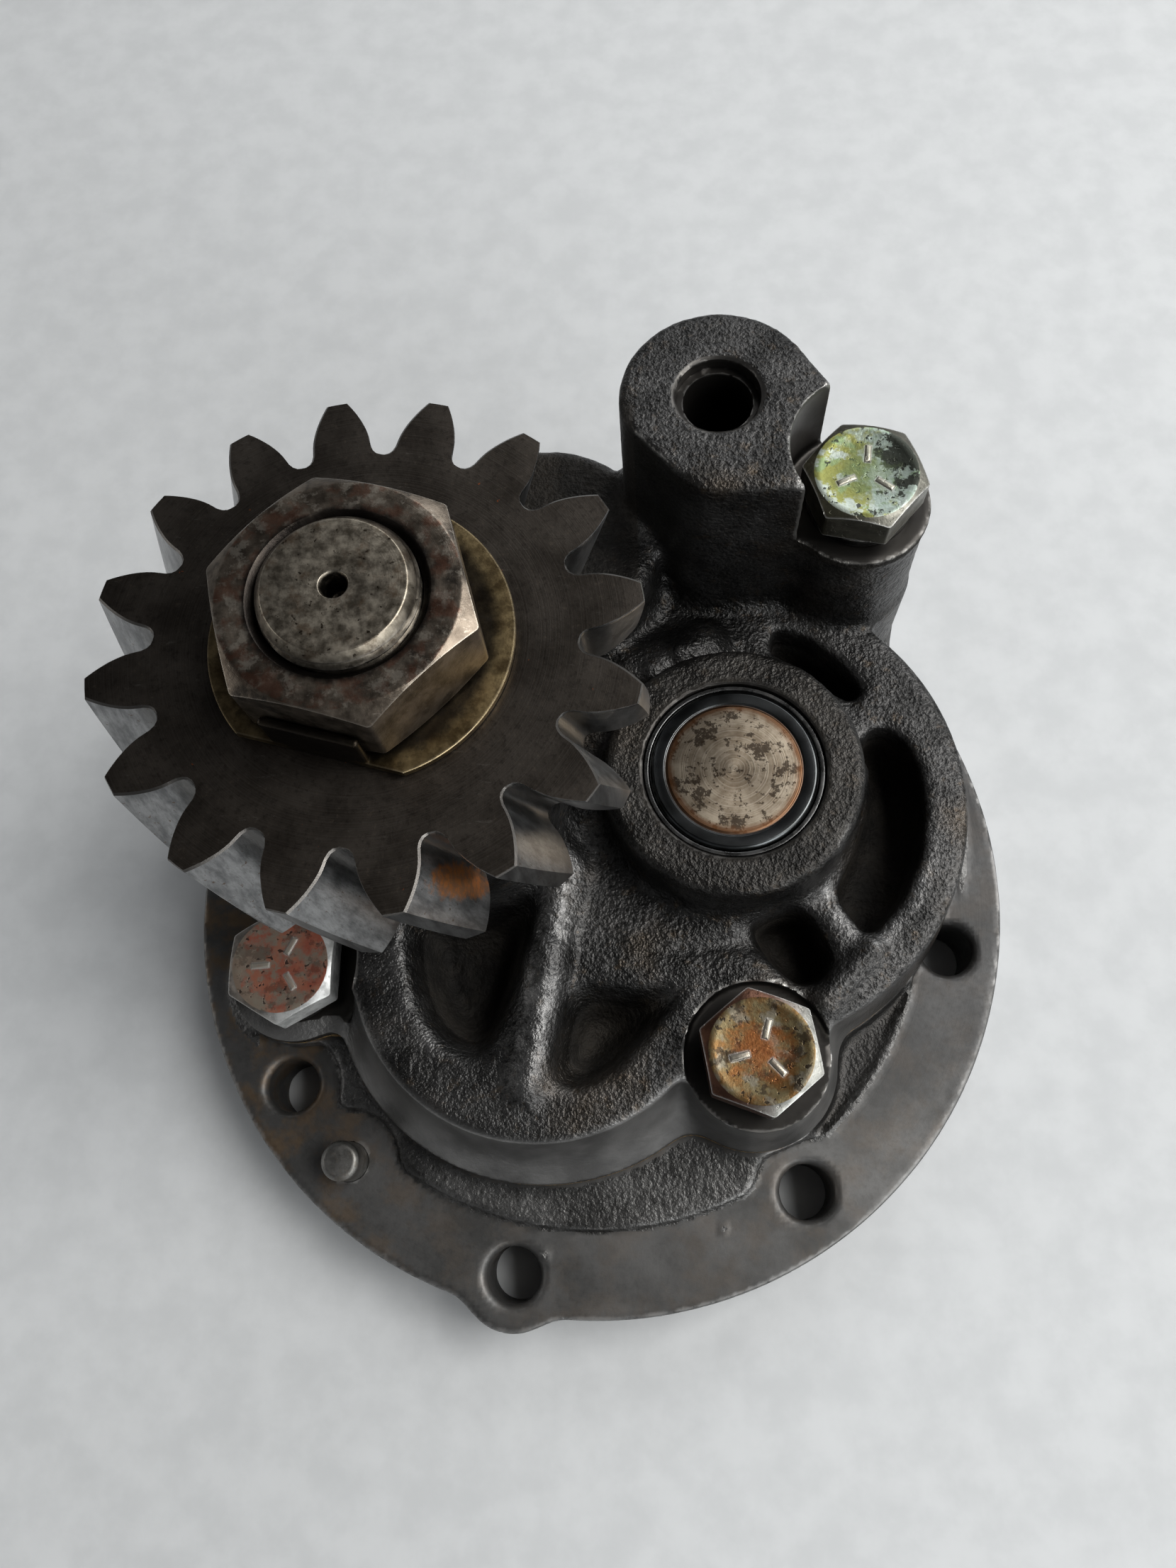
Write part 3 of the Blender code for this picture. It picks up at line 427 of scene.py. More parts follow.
def cover_marks(x, y, z):
    """Per-point marks: painted highlight on the rib and valley walls, painted shade in the hollows,
    bores and spot faces and on the rear and idler bosses, calm milled flat, smooth outer band.
    """
    # painted shade on the floors of the hollows, except round the drive boss
    painted_shade = clip01((-rim(x, y) - 4.0) / 3.0) * clip01((RIM_Z - 2.2 - z) / 5.5)
    painted_shade *= clip01(circle(x, y, DRIVE, 20.0) / 4.0)
    # painted highlight along the rib
    rib = np.minimum(capsule(x, y, z, *RIB_A), capsule(x, y, z, *RIB_B))
    rib = 0.46 * clip01(1 - np.abs(rib) / 1.0) * clip01((z - 32.4) / 1.8)
    skirt = (clip01((RIM_Z - 0.8 - z) / 1.2) * clip01((z - 17.6) / 1.0)
             * clip01((rim(x, y) + 1.2) / 1.2))
    skirt *= clip01((-20.0 - y) / 10.0)
    # painted highlight on the left valley's outer wall and on the spoke beside the kidney
    left = (clip01(1 - np.abs(left_valley(x, y) - 1.2) / 1.6) * clip01((-24.0 - x) / 3.0)
            * clip01((z - 29.5) / 2.0))
    spoke = (clip01(1 - np.abs(right_kidney(x, y) - 1.4) / 1.6) * clip01((z - 31.0) / 2.0)
             * clip01((4.0 - y) / 8.0))
    facet = clip01(1 - np.abs(past_flat(x, y)) / 0.5) * (z > 36.2)
    # painted shade in the port bore, the idler bore and on the bolt spot faces
    bores = (circle(x, y, PORT, 7.2) < 0) * clip01((PORT_TOP - 0.2 - z) / 0.5)
    bores = np.maximum(bores, clip01(-circle(x, y, IDLER, 16.9)))
    for k, radius in (("a", 13.4), ("b", 12.6), ("c", 14.0), ("d", 12.6)):
        seat = clip01(-circle(x, y, BOLT[k], radius) / 1.0)
        bores = np.maximum(bores, seat * (z < SEAT[k] + 1.2) * (z > SEAT[k] - 2.0))
    # painted shade on the rear boss beside the gear and on the idler boss top
    round_boss = 0.85 * clip01(-circle(x, y, ROUND_BOSS, 21.0) / 3.0)
    painted_shade = np.maximum(painted_shade, round_boss * (rim(x, y) < 1.0) * (x < 10))
    idler_boss = 0.66 * clip01(-circle(x, y, IDLER, 22.6) / 2.0) * (z > 42.0)
    painted_shade = np.maximum(painted_shade, idler_boss)
    return {"painted_highlight": clip01(rib + 0.45 * left + 0.4 * spoke), "painted_shade": np.maximum(painted_shade, bores),
            "calm": facet, "band": skirt}


# ---------------------------------------------------------------- the body as a distance field
def ring_boundary(x, y):
    """Negative on the rough casting inside the flange's machined ring."""
    solid = circle(x, y, (0, 0), 60.8)
    for hole in HOLES[:3] + [tuple(DOWEL["flange_dowel_pin"])] + HOLES[3:]:
        solid = cut(solid, circle(x, y, hole, 8.9), 2.0)
    return solid


rough_web = PlaneField(ring_boundary)


def ramp_side(x, y):
    """Negative in the sector right of the front ear."""
    angle = np.arctan2(y, x)
    return np.maximum(math.radians(-53.0) - angle, angle - math.radians(-12.0)) * 50.0


def body_marks(x, y, z):
    """Per-point painted shade: in the groove, in the recess right of the front ear and along the
    cover's foot.
    """
    web = rough_web(x, y)
    inside = clip01(-web / 1.2) * (z < SPLIT_Z + 1)
    # painted shade in the sector right of the front ear
    side = clip01(-ramp_side(x, y) / 4.0) * clip01(0.2 - web / 2.5) * clip01((z - 9.0) / 1.5)
    # painted shade on the web below the ring and close to the cover's foot
    dark = inside * clip01((13.6 - z) / 1.2) * (z > 11.0)
    near = clip01((3.0 - foot(x, y)) / 3.0) * inside * (z > 11.0)
    return {"painted_shade": clip01(np.maximum(dark, side) + 0.6 * near)}


def body_cuts(x, y, z):
    cuts = [SPLIT_Z - z]
    for axis in (DRIVE, IDLER):
        cuts.append(blind_hole(circle(x, y, axis, CHAMBER_R), z, CHAMBER_FLOOR))
    cuts.append(blind_hole(capsule(x, y, 0 * z, *SUCTION), z, CHAMBER_FLOOR + 0.01))
    cuts.append(circle(x, y, (MID_X, DRIVE.y - 23.0), 7.0) - np.clip(0.6 - z, 0, 0.6))
    cuts.append(intersect(capsule(x, y, 0 * z, *PRESSURE), CHAMBER_FLOOR + 1.6 - z, 1.5))
    for hole in HOLES + [LUG]:
        cuts.append(circle(x, y, hole, HOLE_R) - np.clip(z - FLANGE_T + 0.85, 0, 1.2)
                    - np.clip(0.4 - z, 0, 0.4))
    pin = DOWEL["flange_dowel_pin"]
    cuts.append(blind_hole(circle(x, y, pin, FLANGE_DOWEL_HOLE_R), z, 3.9))
    for n in COVER_DOWELS:
        cuts.append(blind_hole(circle(x, y, DOWEL[n], COVER_DOWEL_HOLE_R), z, 7.0))
    for k in "abcd":
        cuts.append(blind_hole(circle(x, y, BOLT[k], 5.0), z, 2.0))
    return nearest(cuts)


def body(x, y, z, fine):
    """(solid, distance to the machined faces); the sand skin is only added when fine."""
    edge, base, web = flange(x, y), foot(x, y), rough_web(x, y)
    disc = intersect(intersect(edge, z - FLANGE_T, 0.9), -z, 0.5)
    rise = 14.85 + 0.6 * clip01((5.0 - base) / 9.0)
    hump = intersect(intersect(web, edge + 1.0, 1.5), z - rise, 1.3)
    # the bulge outside the round flange is as cast all over
    bulge = intersect(union(edge, base - 0.5, 0.1), base - 3.0, 1.0)
    bulge = intersect(bulge, np.maximum(-(np.hypot(x, y) - 68.0), z - 14.2), 2.0)
    pad = intersect(base - 0.35 + 0.25 * np.clip(z - 14.0, -0.6, 2.0), edge, 0.4)
    pad = intersect(pad, z - SPLIT_Z, 0.8)
    cast = union(union(hump, bulge, 3.0), pad, 1.6)
    # beads on the flange: x, y, radius
    for bx, by, radius in ((-32.6, -50.9, 0.75), (-9.0, -64.6, 0.7), (22.0, -60.5, 0.55)):
        bead = np.sqrt((x - bx) ** 2 + (y - by) ** 2 + (z - 13.5) ** 2) - radius
        disc = union(disc, bead, 0.5)
    if fine:
        radial = lattice_noise(np.arctan2(y, x) * 60.0, np.hypot(x, y) * 0.35, z, 2.6)
        cast = cast + ((sand_skin(x, y, z, 0.06) + 0.03 * radial)
                       * np.clip(0.15 - web / 2.0, 0.1, 1))
        disc = disc + 0.03 * lattice_noise(x, y, z, 7.0) * (np.hypot(x, y) > 73.5)
    solid = union(disc, cast, 0.5)
    # the cast web is lower between the ring and the cover on the right
    groove = intersect(intersect(web + 0.8, 0.6 - base, 1.0),
                       np.maximum(ramp_side(x, y), 13.3 - z), 1.6)
    solid = intersect(cut(solid, groove, 1.4), -z, 0.3)
    taken = body_cuts(x, y, z)
    machined = np.minimum(np.abs(taken),
                          np.abs(z - FLANGE_T) + 0.5 * np.clip(0.5 - web, 0, 9))
    return cut(solid, taken, 0.25), np.minimum(machined, np.abs(z))


# ---------------------------------------------------------------- dual contouring
COARSE = 4              # fine steps in a step of the coarse first pass
ENDS = (slice(0, -1), slice(1, None))


def chunks(count, size=400000):
    """Slices that keep the arrays of one evaluation small."""
    for start in range(0, count, size):
        yield slice(start, start + size)


def spread(coarse):
    return coarse.repeat(COARSE, 0).repeat(COARSE, 1).repeat(COARSE, 2)


def sample_grid(field, low, high, step):
    """The field on grid points: exact near the surface, coarse away from it."""
    cells = np.ceil((np.array(high, float) - low) / (step * COARSE)).astype(int)
    middles = [low[i] + (np.arange(cells[i]) + 0.5) * step * COARSE for i in range(3)]
    x, y, z = (a.ravel().astype(np.float32) for a in np.meshgrid(*middles, indexing="ij"))
    coarse = field(x, y, z, False)[0].reshape(cells).astype(np.float32)
    keep = spread(np.abs(coarse) < step * COARSE + 0.8)
    grid = np.empty(cells * COARSE + 1, np.float32)
    grid[:-1, :-1, :-1] = spread(coarse)
    for axis in range(3):
        layers = np.moveaxis(grid, axis, 0)
        layers[-1] = layers[-2]
    mask = np.zeros(grid.shape, bool)
    for corner in product(ENDS, repeat=3):
        mask[corner] |= keep
    index = np.nonzero(mask)
    values = np.empty(len(index[0]), np.float32)
    for part in chunks(len(values)):
        x, y, z = ((low[i] + index[i][part] * step).astype(np.float32) for i in range(3))
        values[part] = field(x, y, z, True)[0]
    grid[index] = values
    # the outer layers stay outside, so the surface closes
    for axis in range(3):
        layers = np.moveaxis(grid, axis, 0)
        layers[[0, -1]] = np.maximum(layers[[0, -1]], 0.01)
    return grid


def find_crossings(grid, low, step):
    """Grid edges that cross the surface, as (edges, starts inside) per axis, and the points."""
    inside = grid < 0
    crossings, points = [], []
    for axis in range(3):
        first, second = [slice(None)] * 3, [slice(None)] * 3
        first[axis], second[axis] = ENDS
        edges = np.argwhere(inside[tuple(first)] != inside[tuple(second)])
        far = edges.copy()
        far[:, axis] += 1
        f0, f1 = grid[tuple(edges.T)], grid[tuple(far.T)]
        point = low + edges * step
        point[:, axis] += np.clip(f0 / (f0 - f1), 0.001, 0.999) * step
        crossings.append((edges, f0 < 0))
        points.append(point)
    return crossings, np.concatenate(points).astype(np.float32)


def settle(field, points):
    """Move points onto the surface in place; returns their normals."""
    reach = 0.04
    normals = np.empty_like(points)
    for part in chunks(len(points)):
        old = points[part]
        x, y, z = old[:, 0], old[:, 1], old[:, 2]
        base = field(x, y, z, True)[0]
        slope = np.stack([field(x + reach, y, z, True)[0] - base,
                          field(x, y + reach, z, True)[0] - base,
                          field(x, y, z + reach, True)[0] - base], 1)
        slope /= np.linalg.norm(slope, axis=1, keepdims=True) + 1e-9
        normals[part] = slope
        points[part] = old - slope * np.clip(base, -0.3, 0.3)[:, None]
    return normals


def cells_beside(edges, axes, shift):
    cells = edges.copy()
    cells[:, axes] += np.array(shift)
    return cells


def fit_vertices(crossings, points, normals, low, cell_shape, step):
    """One vertex per crossed cell, where the planes of its crossings meet best."""
    start = 0
    cell_of, point_of = [], []
    for axis, (edges, _) in enumerate(crossings):
        others = [a for a in range(3) if a != axis]
        for shift in product((-1, 0), repeat=2):
            cell_of.append(cells_beside(edges, others, shift))
            point_of.append(start + np.arange(len(edges)))
        start += len(edges)
    cell_of, point_of = np.concatenate(cell_of), np.concatenate(point_of)
    flat = np.ravel_multi_index(tuple(cell_of.T), cell_shape)
    used, owner = np.unique(flat, return_inverse=True)
    cell_index = np.full(cell_shape, -1, np.int32)
    cell_index.ravel()[used] = np.arange(len(used))
    total = len(used)
    count = np.bincount(owner, minlength=total).astype(float)
    point, normal = points[point_of].astype(float), normals[point_of].astype(float)
    mass = np.stack([np.bincount(owner, point[:, i], total) for i in range(3)], 1)
    mass = mass / count[:, None]
    offset = (normal * (point - mass[owner])).sum(1)
    # least squares, pulled gently towards the mean crossing
    matrix = np.empty((total, 3, 3))
    vector = np.empty((total, 3))
    for i in range(3):
        vector[:, i] = np.bincount(owner, normal[:, i] * offset, total)
        for j in range(i, 3):
            sums = np.bincount(owner, normal[:, i] * normal[:, j], total)
            matrix[:, i, j] = matrix[:, j, i] = sums
    matrix += np.eye(3) * (0.035 * count)[:, None, None]
    move = np.linalg.solve(matrix, vector[:, :, None])[:, :, 0]
    corner = low + np.stack(np.unravel_index(used, cell_shape), 1) * step
    return np.clip(mass + move, corner + 0.02 * step, corner + 0.98 * step), cell_index


def contour(field, low, high, step):
    """(vertices, quads, machined distance); sharp edges of the field stay sharp."""
    low = np.array(low, float)
    grid = sample_grid(field, low, high, step)
    crossings, points = find_crossings(grid, low, step)
    normals = settle(field, points)
    cell_shape = tuple(n - 1 for n in grid.shape)
    vertices, cell_index = fit_vertices(crossings, points, normals, low, cell_shape, step)
    quads = []
    for axis, (edges, inside) in enumerate(crossings):
        others = [(axis + 1) % 3, (axis + 2) % 3]
        faces = np.stack([cell_index[tuple(cells_beside(edges, others, shift).T)]
                          for shift in ((-1, -1), (0, -1), (0, 0), (-1, 0))], 1)
        faces[~inside] = faces[~inside][:, ::-1]
        quads.append(faces)
    machined = np.empty(len(vertices), np.float32)
    for part in chunks(len(vertices)):
        v = vertices[part].astype(np.float32)
        machined[part] = np.abs(field(v[:, 0], v[:, 1], v[:, 2], True)[1])
    return vertices, np.concatenate(quads), machined


def smooth_positions(vertices, quads, times):
    a = np.concatenate([quads[:, 0], quads[:, 1], quads[:, 2], quads[:, 3]])
    b = np.concatenate([quads[:, 1], quads[:, 2], quads[:, 3], quads[:, 0]])
    n = len(vertices)
    degree = np.bincount(a, minlength=n) + np.bincount(b, minlength=n)
    p = vertices.copy()
    for _ in range(times):
        q = np.stack([np.bincount(a, p[b, i], n) + np.bincount(b, p[a, i], n)
                      for i in range(3)], 1)
        p = 0.5 * p + 0.5 * q / np.maximum(degree, 1)[:, None]
    return p


# ---------------------------------------------------------------- objects and meshes
def add_object(name, mesh, mat, at=(0, 0)):
    mesh.materials.append(mat)
    obj = bpy.data.objects.new(name, mesh)
    bpy.context.scene.collection.objects.link(obj)
    obj.location = Vector((at[0], at[1], 0)) * MM
    return obj


def register(obj, train, node, slot):
    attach(obj, train)
    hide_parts(node)


def smooth(mesh, angle):
    mesh.shade_smooth()
    mesh.set_sharp_from_angle(angle=math.radians(angle))


def plain_mesh(name, vertices, faces):
    mesh = bpy.data.meshes.new(name)
    mesh.from_pydata([(x * MM, y * MM, z * MM) for x, y, z in vertices], [], faces)
    return mesh


def quad_mesh(name, vertices, quads):
    mesh = bpy.data.meshes.new(name)
    mesh.vertices.add(len(vertices))
    mesh.vertices.foreach_set("co", (vertices * MM).astype(np.float32).ravel())
    mesh.loops.add(quads.size)
    mesh.loops.foreach_set("vertex_index", quads.ravel().astype(np.int32))
    mesh.polygons.add(len(quads))
    mesh.polygons.foreach_set("loop_start", (np.arange(len(quads)) * 4).astype(np.int32))
    mesh.update(calc_edges=True)
    mesh.validate()
    return mesh


def casting(name, field, marks, low, high, step, mat):
    """Contoured casting whose point attributes carry its finish and where light and shade are
    painted.
    """
    vertices, quads, machined = contour(field, low, high, step)
    mesh = quad_mesh(name, vertices, quads)
    base = smooth_positions(vertices, quads, 7)
    corners = vertices[quads]
    face_normal = np.cross(corners[:, 2] - corners[:, 0], corners[:, 3] - corners[:, 1])
    normal = np.zeros_like(vertices)
    for k in range(4):
        for i in range(3):
            normal[:, i] += np.bincount(quads[:, k], face_normal[:, i], len(vertices))
    normal /= np.linalg.norm(normal, axis=1, keepdims=True) + 1e-12
    # how far each point stands out of the smoothed surface
    curve = ((vertices - base) * normal).sum(1)
    layers = {"mach": clip01(1 - (machined - 0.10) / 0.10),
              "edge": np.clip(curve / 0.45, -1, 1)}
    layers.update(marks(*(vertices[:, i].astype(np.float32) for i in range(3))))
    for key, value in layers.items():
        attribute = mesh.attributes.new(key, "FLOAT", "POINT")
        attribute.data.foreach_set("value", value.astype(np.float32))
    smooth(mesh, 48)
    return add_object(name, mesh, mat)


def ring_solid(name, rings, mat, at, angle, closed=True):
    """Mesh through rings of equally many (x, y, z) points; a one-point ring is a pole."""
    vertices, starts = [], []
    for points in rings:
        starts.append(len(vertices))
        vertices += points
    faces = []
    for i in range(len(rings) if closed else len(rings) - 1):
        j = (i + 1) % len(rings)
        a, b, count_a, count_b = starts[i], starts[j], len(rings[i]), len(rings[j])
        if count_a == 1 and count_b == 1:
            continue
        count = max(count_a, count_b)
        for k in range(count):
            after = (k + 1) % count
            if count_a == 1:
                faces.append((a, b + after, b + k))
            elif count_b == 1:
                faces.append((a + k, a + after, b))
            else:
                faces.append((a + k, a + after, b + after, b + k))
    # a negative volume means the faces look inwards
    v = np.array(vertices, float)
    volume = 0.0
    for face in faces:
        p = v[list(face)]
        volume += np.dot(p[0], np.cross(p[1], p[2]))
        if len(face) == 4:
            volume += np.dot(p[0], np.cross(p[2], p[3]))
    if volume < 0:
        faces = [face[::-1] for face in faces]
    mesh = plain_mesh(name, vertices, faces)
    mesh.update()
    smooth(mesh, angle)
    return add_object(name, mesh, mat, at)


def bezier(p0, p1, p2, steps):
    """Points of a quadratic curve, both ends included."""
    for s in range(steps + 1):
        t = s / steps
        yield p0 * (1 - t) ** 2 + p1 * 2 * t * (1 - t) + p2 * t * t


def rounded(profile, radius):
    """A closed profile of (r, z) or (r, z, own radius) with its corners rounded.

    Points on the axis stay put.
    """
    out = []
    for i, p in enumerate(profile):
        reach = p[2] if len(p) > 2 else radius
        before, corner = Vector(profile[i - 1][:2]), Vector(p[:2])
        after = Vector(profile[(i + 1) % len(profile)][:2])
        if corner.x < 1e-6 or reach <= 0:
            out.append((corner.x, corner.y))
            continue
        a, b = before - corner, after - corner
        c = min(reach, 0.45 * a.length, 0.45 * b.length)
        start, end = corner + a.normalized() * c, corner + b.normalized() * c
        out += [(q.x, q.y) for q in bezier(start, corner, end, 3)]
    return out


def turn_angles(count):
    return [2 * math.pi * i / count for i in range(count)]


def ring(radius, z, angles):
    return [(radius * math.cos(a), radius * math.sin(a), z) for a in angles]


def profile_rings(points, angles):
    return [[(0, 0, z)] if r < 1e-6 else ring(r, z, angles) for r, z in points]


def lathe(name, profile, segments, mat, at, radius):
    rings = profile_rings(rounded(profile, radius), turn_angles(segments))
    return ring_solid(name, rings, mat, at, 30)


def hex_outline(across, turn, corner, side, arc):
    """(radius, angle) pairs round a hexagon with lightly rounded corners."""
    r = across / 2 / math.cos(math.pi / 6)

    def tip(i):
        a = math.radians(turn + 60 * i)
        return Vector((r * math.cos(a), r * math.sin(a)))
    points = []
    for i in range(6):
        before, p, after = tip(i - 1), tip(i), tip(i + 1)
        start = p + (before - p).normalized() * corner
        end = p + (after - p).normalized() * corner
        points += bezier(start, p, end, arc)
        next_start = after + (p - after).normalized() * corner
        points += [end.lerp(next_start, s / side) for s in range(1, side)]
    return [(p.length, math.atan2(p.y, p.x)) for p in points]


def stack_faces(levels):
    """Faces of a solid made of square layers, bottom to top."""
    faces = [(3, 2, 1, 0)]
    for j in range(levels - 1):
        faces += [(4 * j + k, 4 * j + (k + 1) % 4, 4 * j + 4 + (k + 1) % 4, 4 * j + 4 + k)
                  for k in range(4)]
    last = 4 * (levels - 1)
    return faces + [(last, last + 1, last + 2, last + 3)]


def prism(name, outline, z0, z1, mat, at):
    """Block on a four-cornered outline."""
    vertices = [(x, y, z) for z in (z0, z1) for x, y in outline]
    faces = [(3, 2, 1, 0), (4, 5, 6, 7), (0, 1, 5, 4), (1, 2, 6, 5), (2, 3, 7, 6), (3, 0, 4, 7)]
    return add_object(name, plain_mesh(name, vertices, faces), mat, at)


def key_block(name, x0, x1, half_width, z0, z1, mat, at):
    outline = [(x0, -half_width), (x1, -half_width), (x1, half_width), (x0, half_width)]
    block = prism(name, outline, z0, z1, mat, at)
    block.data.shade_smooth()
    return block


def bevel(obj, width):
    modifier = obj.modifiers.new("bevel", "BEVEL")
    modifier.width = width * MM
    modifier.segments = 3
    modifier.limit_method = "ANGLE"
    modifier.angle_limit = math.radians(40)
    return obj


def evaluated_mesh(obj):
    bpy.context.view_layer.update()
    graph = bpy.context.evaluated_depsgraph_get()
    return bpy.data.meshes.new_from_object(obj.evaluated_get(graph), depsgraph=graph)


def apply_boolean(obj, other, operation):
    modifier = obj.modifiers.new("b", "BOOLEAN")
    modifier.operation = operation
    modifier.object = other
    modifier.solver = "EXACT"
    mesh = evaluated_mesh(obj)
    obj.modifiers.clear()
    obj.data = mesh
    bpy.data.objects.remove(other, do_unlink=True)


# ---------------------------------------------------------------- shader helper
def shade(rgb, factor):
    return tuple(c * factor for c in rgb)


class Shader:
    """A node material; lengths in its textures are in mm."""

    def __init__(self, name, rgb):
        self.material = bpy.data.materials.new(name)
        self.material.use_nodes = True
        self.material.diffuse_color = (*rgb, 1)
        self.tree = self.material.node_tree
        self.tree.nodes.clear()
        output = self.node("OutputMaterial")
        self.principled = self.node("BsdfPrincipled")
        self.tree.links.new(self.principled.outputs[0], output.inputs[0])
        self.co = self.vmath("SCALE", self.node("TexCoord").outputs["Object"], scale=1000.0)
        self.x, self.y, self.z = self.split(self.co)

    def node(self, kind):
        return self.tree.nodes.new("ShaderNode" + kind)

    def put(self, socket, value):
        """Link a socket or set a plain value."""
        if hasattr(value, "is_output"):
            self.tree.links.new(value, socket)
        elif isinstance(value, (tuple, list)) and len(value) == 3 and socket.type == "RGBA":
            socket.default_value = (*value, 1)
        else:
            socket.default_value = value

    def split(self, vector):
        node = self.node("SeparateXYZ")
        self.put(node.inputs[0], vector)
        return node.outputs

    def math(self, operation, a, b=None):
        node = self.node("Math")
        node.operation = operation
        self.put(node.inputs[0], a)
        if b is not None:
            self.put(node.inputs[1], b)
        return node.outputs[0]

    def times(self, a, b):
        return self.math("MULTIPLY", a, b)

    def add(self, base, value, by):
        """base + value * by"""
        return self.math("ADD", base, self.times(value, by))

    def vary(self, base, noise, by):
        """base moved up and down by a noise centred on 0.5"""
        return self.add(base, self.math("SUBTRACT", noise, 0.5), by)

    def inverse(self, value):
        return self.math("SUBTRACT", 1.0, value)

    def vmath(self, operation, a, b=None, scale=None):
        node = self.node("VectorMath")
        node.operation = operation
        self.put(node.inputs[0], a)
        if b is not None:
            self.put(node.inputs[1], b)
        if scale is not None:
            self.put(node.inputs["Scale"], scale)
        return node.outputs["Value" if operation in ("LENGTH", "DOT_PRODUCT") else 0]

    def vec(self, x, y, z):
        node = self.node("CombineXYZ")
        for socket, value in zip(node.inputs, (x, y, z)):
            self.put(socket, value)
        return node.outputs[0]

    def noise(self, size, detail=2.0, grit=0.5, at=None, shift=0.0):
        """Noise about size mm across; grit is its roughness."""
        node = self.node("TexNoise")
        place = self.co if at is None else at
        if shift:
            place = self.vmath("ADD", place, (shift, shift * 0.7, -shift))
        self.put(node.inputs["Vector"], place)
        node.inputs["Scale"].default_value = 1.0 / size
        node.inputs["Detail"].default_value = detail
        node.inputs["Roughness"].default_value = grit
        return node.outputs["Fac"]

    def ramp(self, value, off, on):
        """0 at off, 1 at on, smooth between."""
        node = self.node("MapRange")
        node.interpolation_type = "SMOOTHSTEP"
        self.put(node.inputs["Value"], value)
        node.inputs["From Min"].default_value = min(off, on)
        node.inputs["From Max"].default_value = max(off, on)
        node.inputs["To Min"].default_value = 0.0 if off < on else 1.0
        node.inputs["To Max"].default_value = 1.0 if off < on else 0.0
        return node.outputs[0]

    def patches(self, off, on, **noise):
        return self.ramp(self.noise(**noise), off, on)

    def mix(self, factor, a, b, kind="RGBA"):
        node = self.node("Mix")
        node.data_type = kind
        first, second, result = (6, 7, 2) if kind == "RGBA" else (2, 3, 0)
        self.put(node.inputs[0], factor)
        self.put(node.inputs[first], a)
        self.put(node.inputs[second], b)
        return node.outputs[result]

    def mix_value(self, factor, a, b):
        return self.mix(factor, a, b, "FLOAT")

    def tint(self, color, mask, rgb, amount):
        return self.mix(self.times(mask, amount), color, rgb)

    def attr(self, name):
        node = self.node("Attribute")
        node.attribute_name = name
        return node.outputs["Fac"]

    def bump(self, height, depth, normal=None, strength=1.0):
        node = self.node("Bump")
        node.inputs["Distance"].default_value = depth * MM
        self.put(node.inputs["Strength"], strength)
        self.put(node.inputs["Height"], height)
        if normal is not None:
            self.put(node.inputs["Normal"], normal)
        return node.outputs[0]

    def radius(self):
        return self.vmath("LENGTH", self.vec(self.x, self.y, 0.0))

    def object_normal(self):
        return self.split(self.node("TexCoord").outputs["Normal"])

    def turned(self, size=0.28):
        """Irregular rings of a lathe tool, read across the radius."""
        return self.noise(size, detail=4.0, grit=0.65, at=self.vec(self.radius(), 0.0, 0.0))

    def edge_wear(self, width):
        """Above 0 near sharp edges, from the bevelled against the true normal."""
        node = self.node("Bevel")
        node.samples = 4
        node.inputs["Radius"].default_value = width * MM
        true_normal = self.node("NewGeometry").outputs["Normal"]
        return self.inverse(self.vmath("DOT_PRODUCT", node.outputs[0], true_normal))

    def worn_edges(self, width, size, by, off, on):
        """Edge wear broken up by noise."""
        return self.ramp(self.vary(self.edge_wear(width), self.noise(size, detail=3), by),
                         off, on)

    def finish(self, color, rough, metal, normal, aniso=None, specular=None):
        inputs = self.principled.inputs
        self.put(inputs["Base Color"], color)
        self.put(inputs["Roughness"], rough)
        self.put(inputs["Metallic"], metal)
        self.put(inputs["Normal"], normal)
        if aniso is not None:
            inputs["Anisotropic"].default_value = aniso
            tangent = self.node("Tangent")
            tangent.direction_type = "RADIAL"
            tangent.axis = "Z"
            self.put(inputs["Tangent"], tangent.outputs[0])
        if specular is not None:
            inputs["Specular IOR Level"].default_value = specular
        return self.material


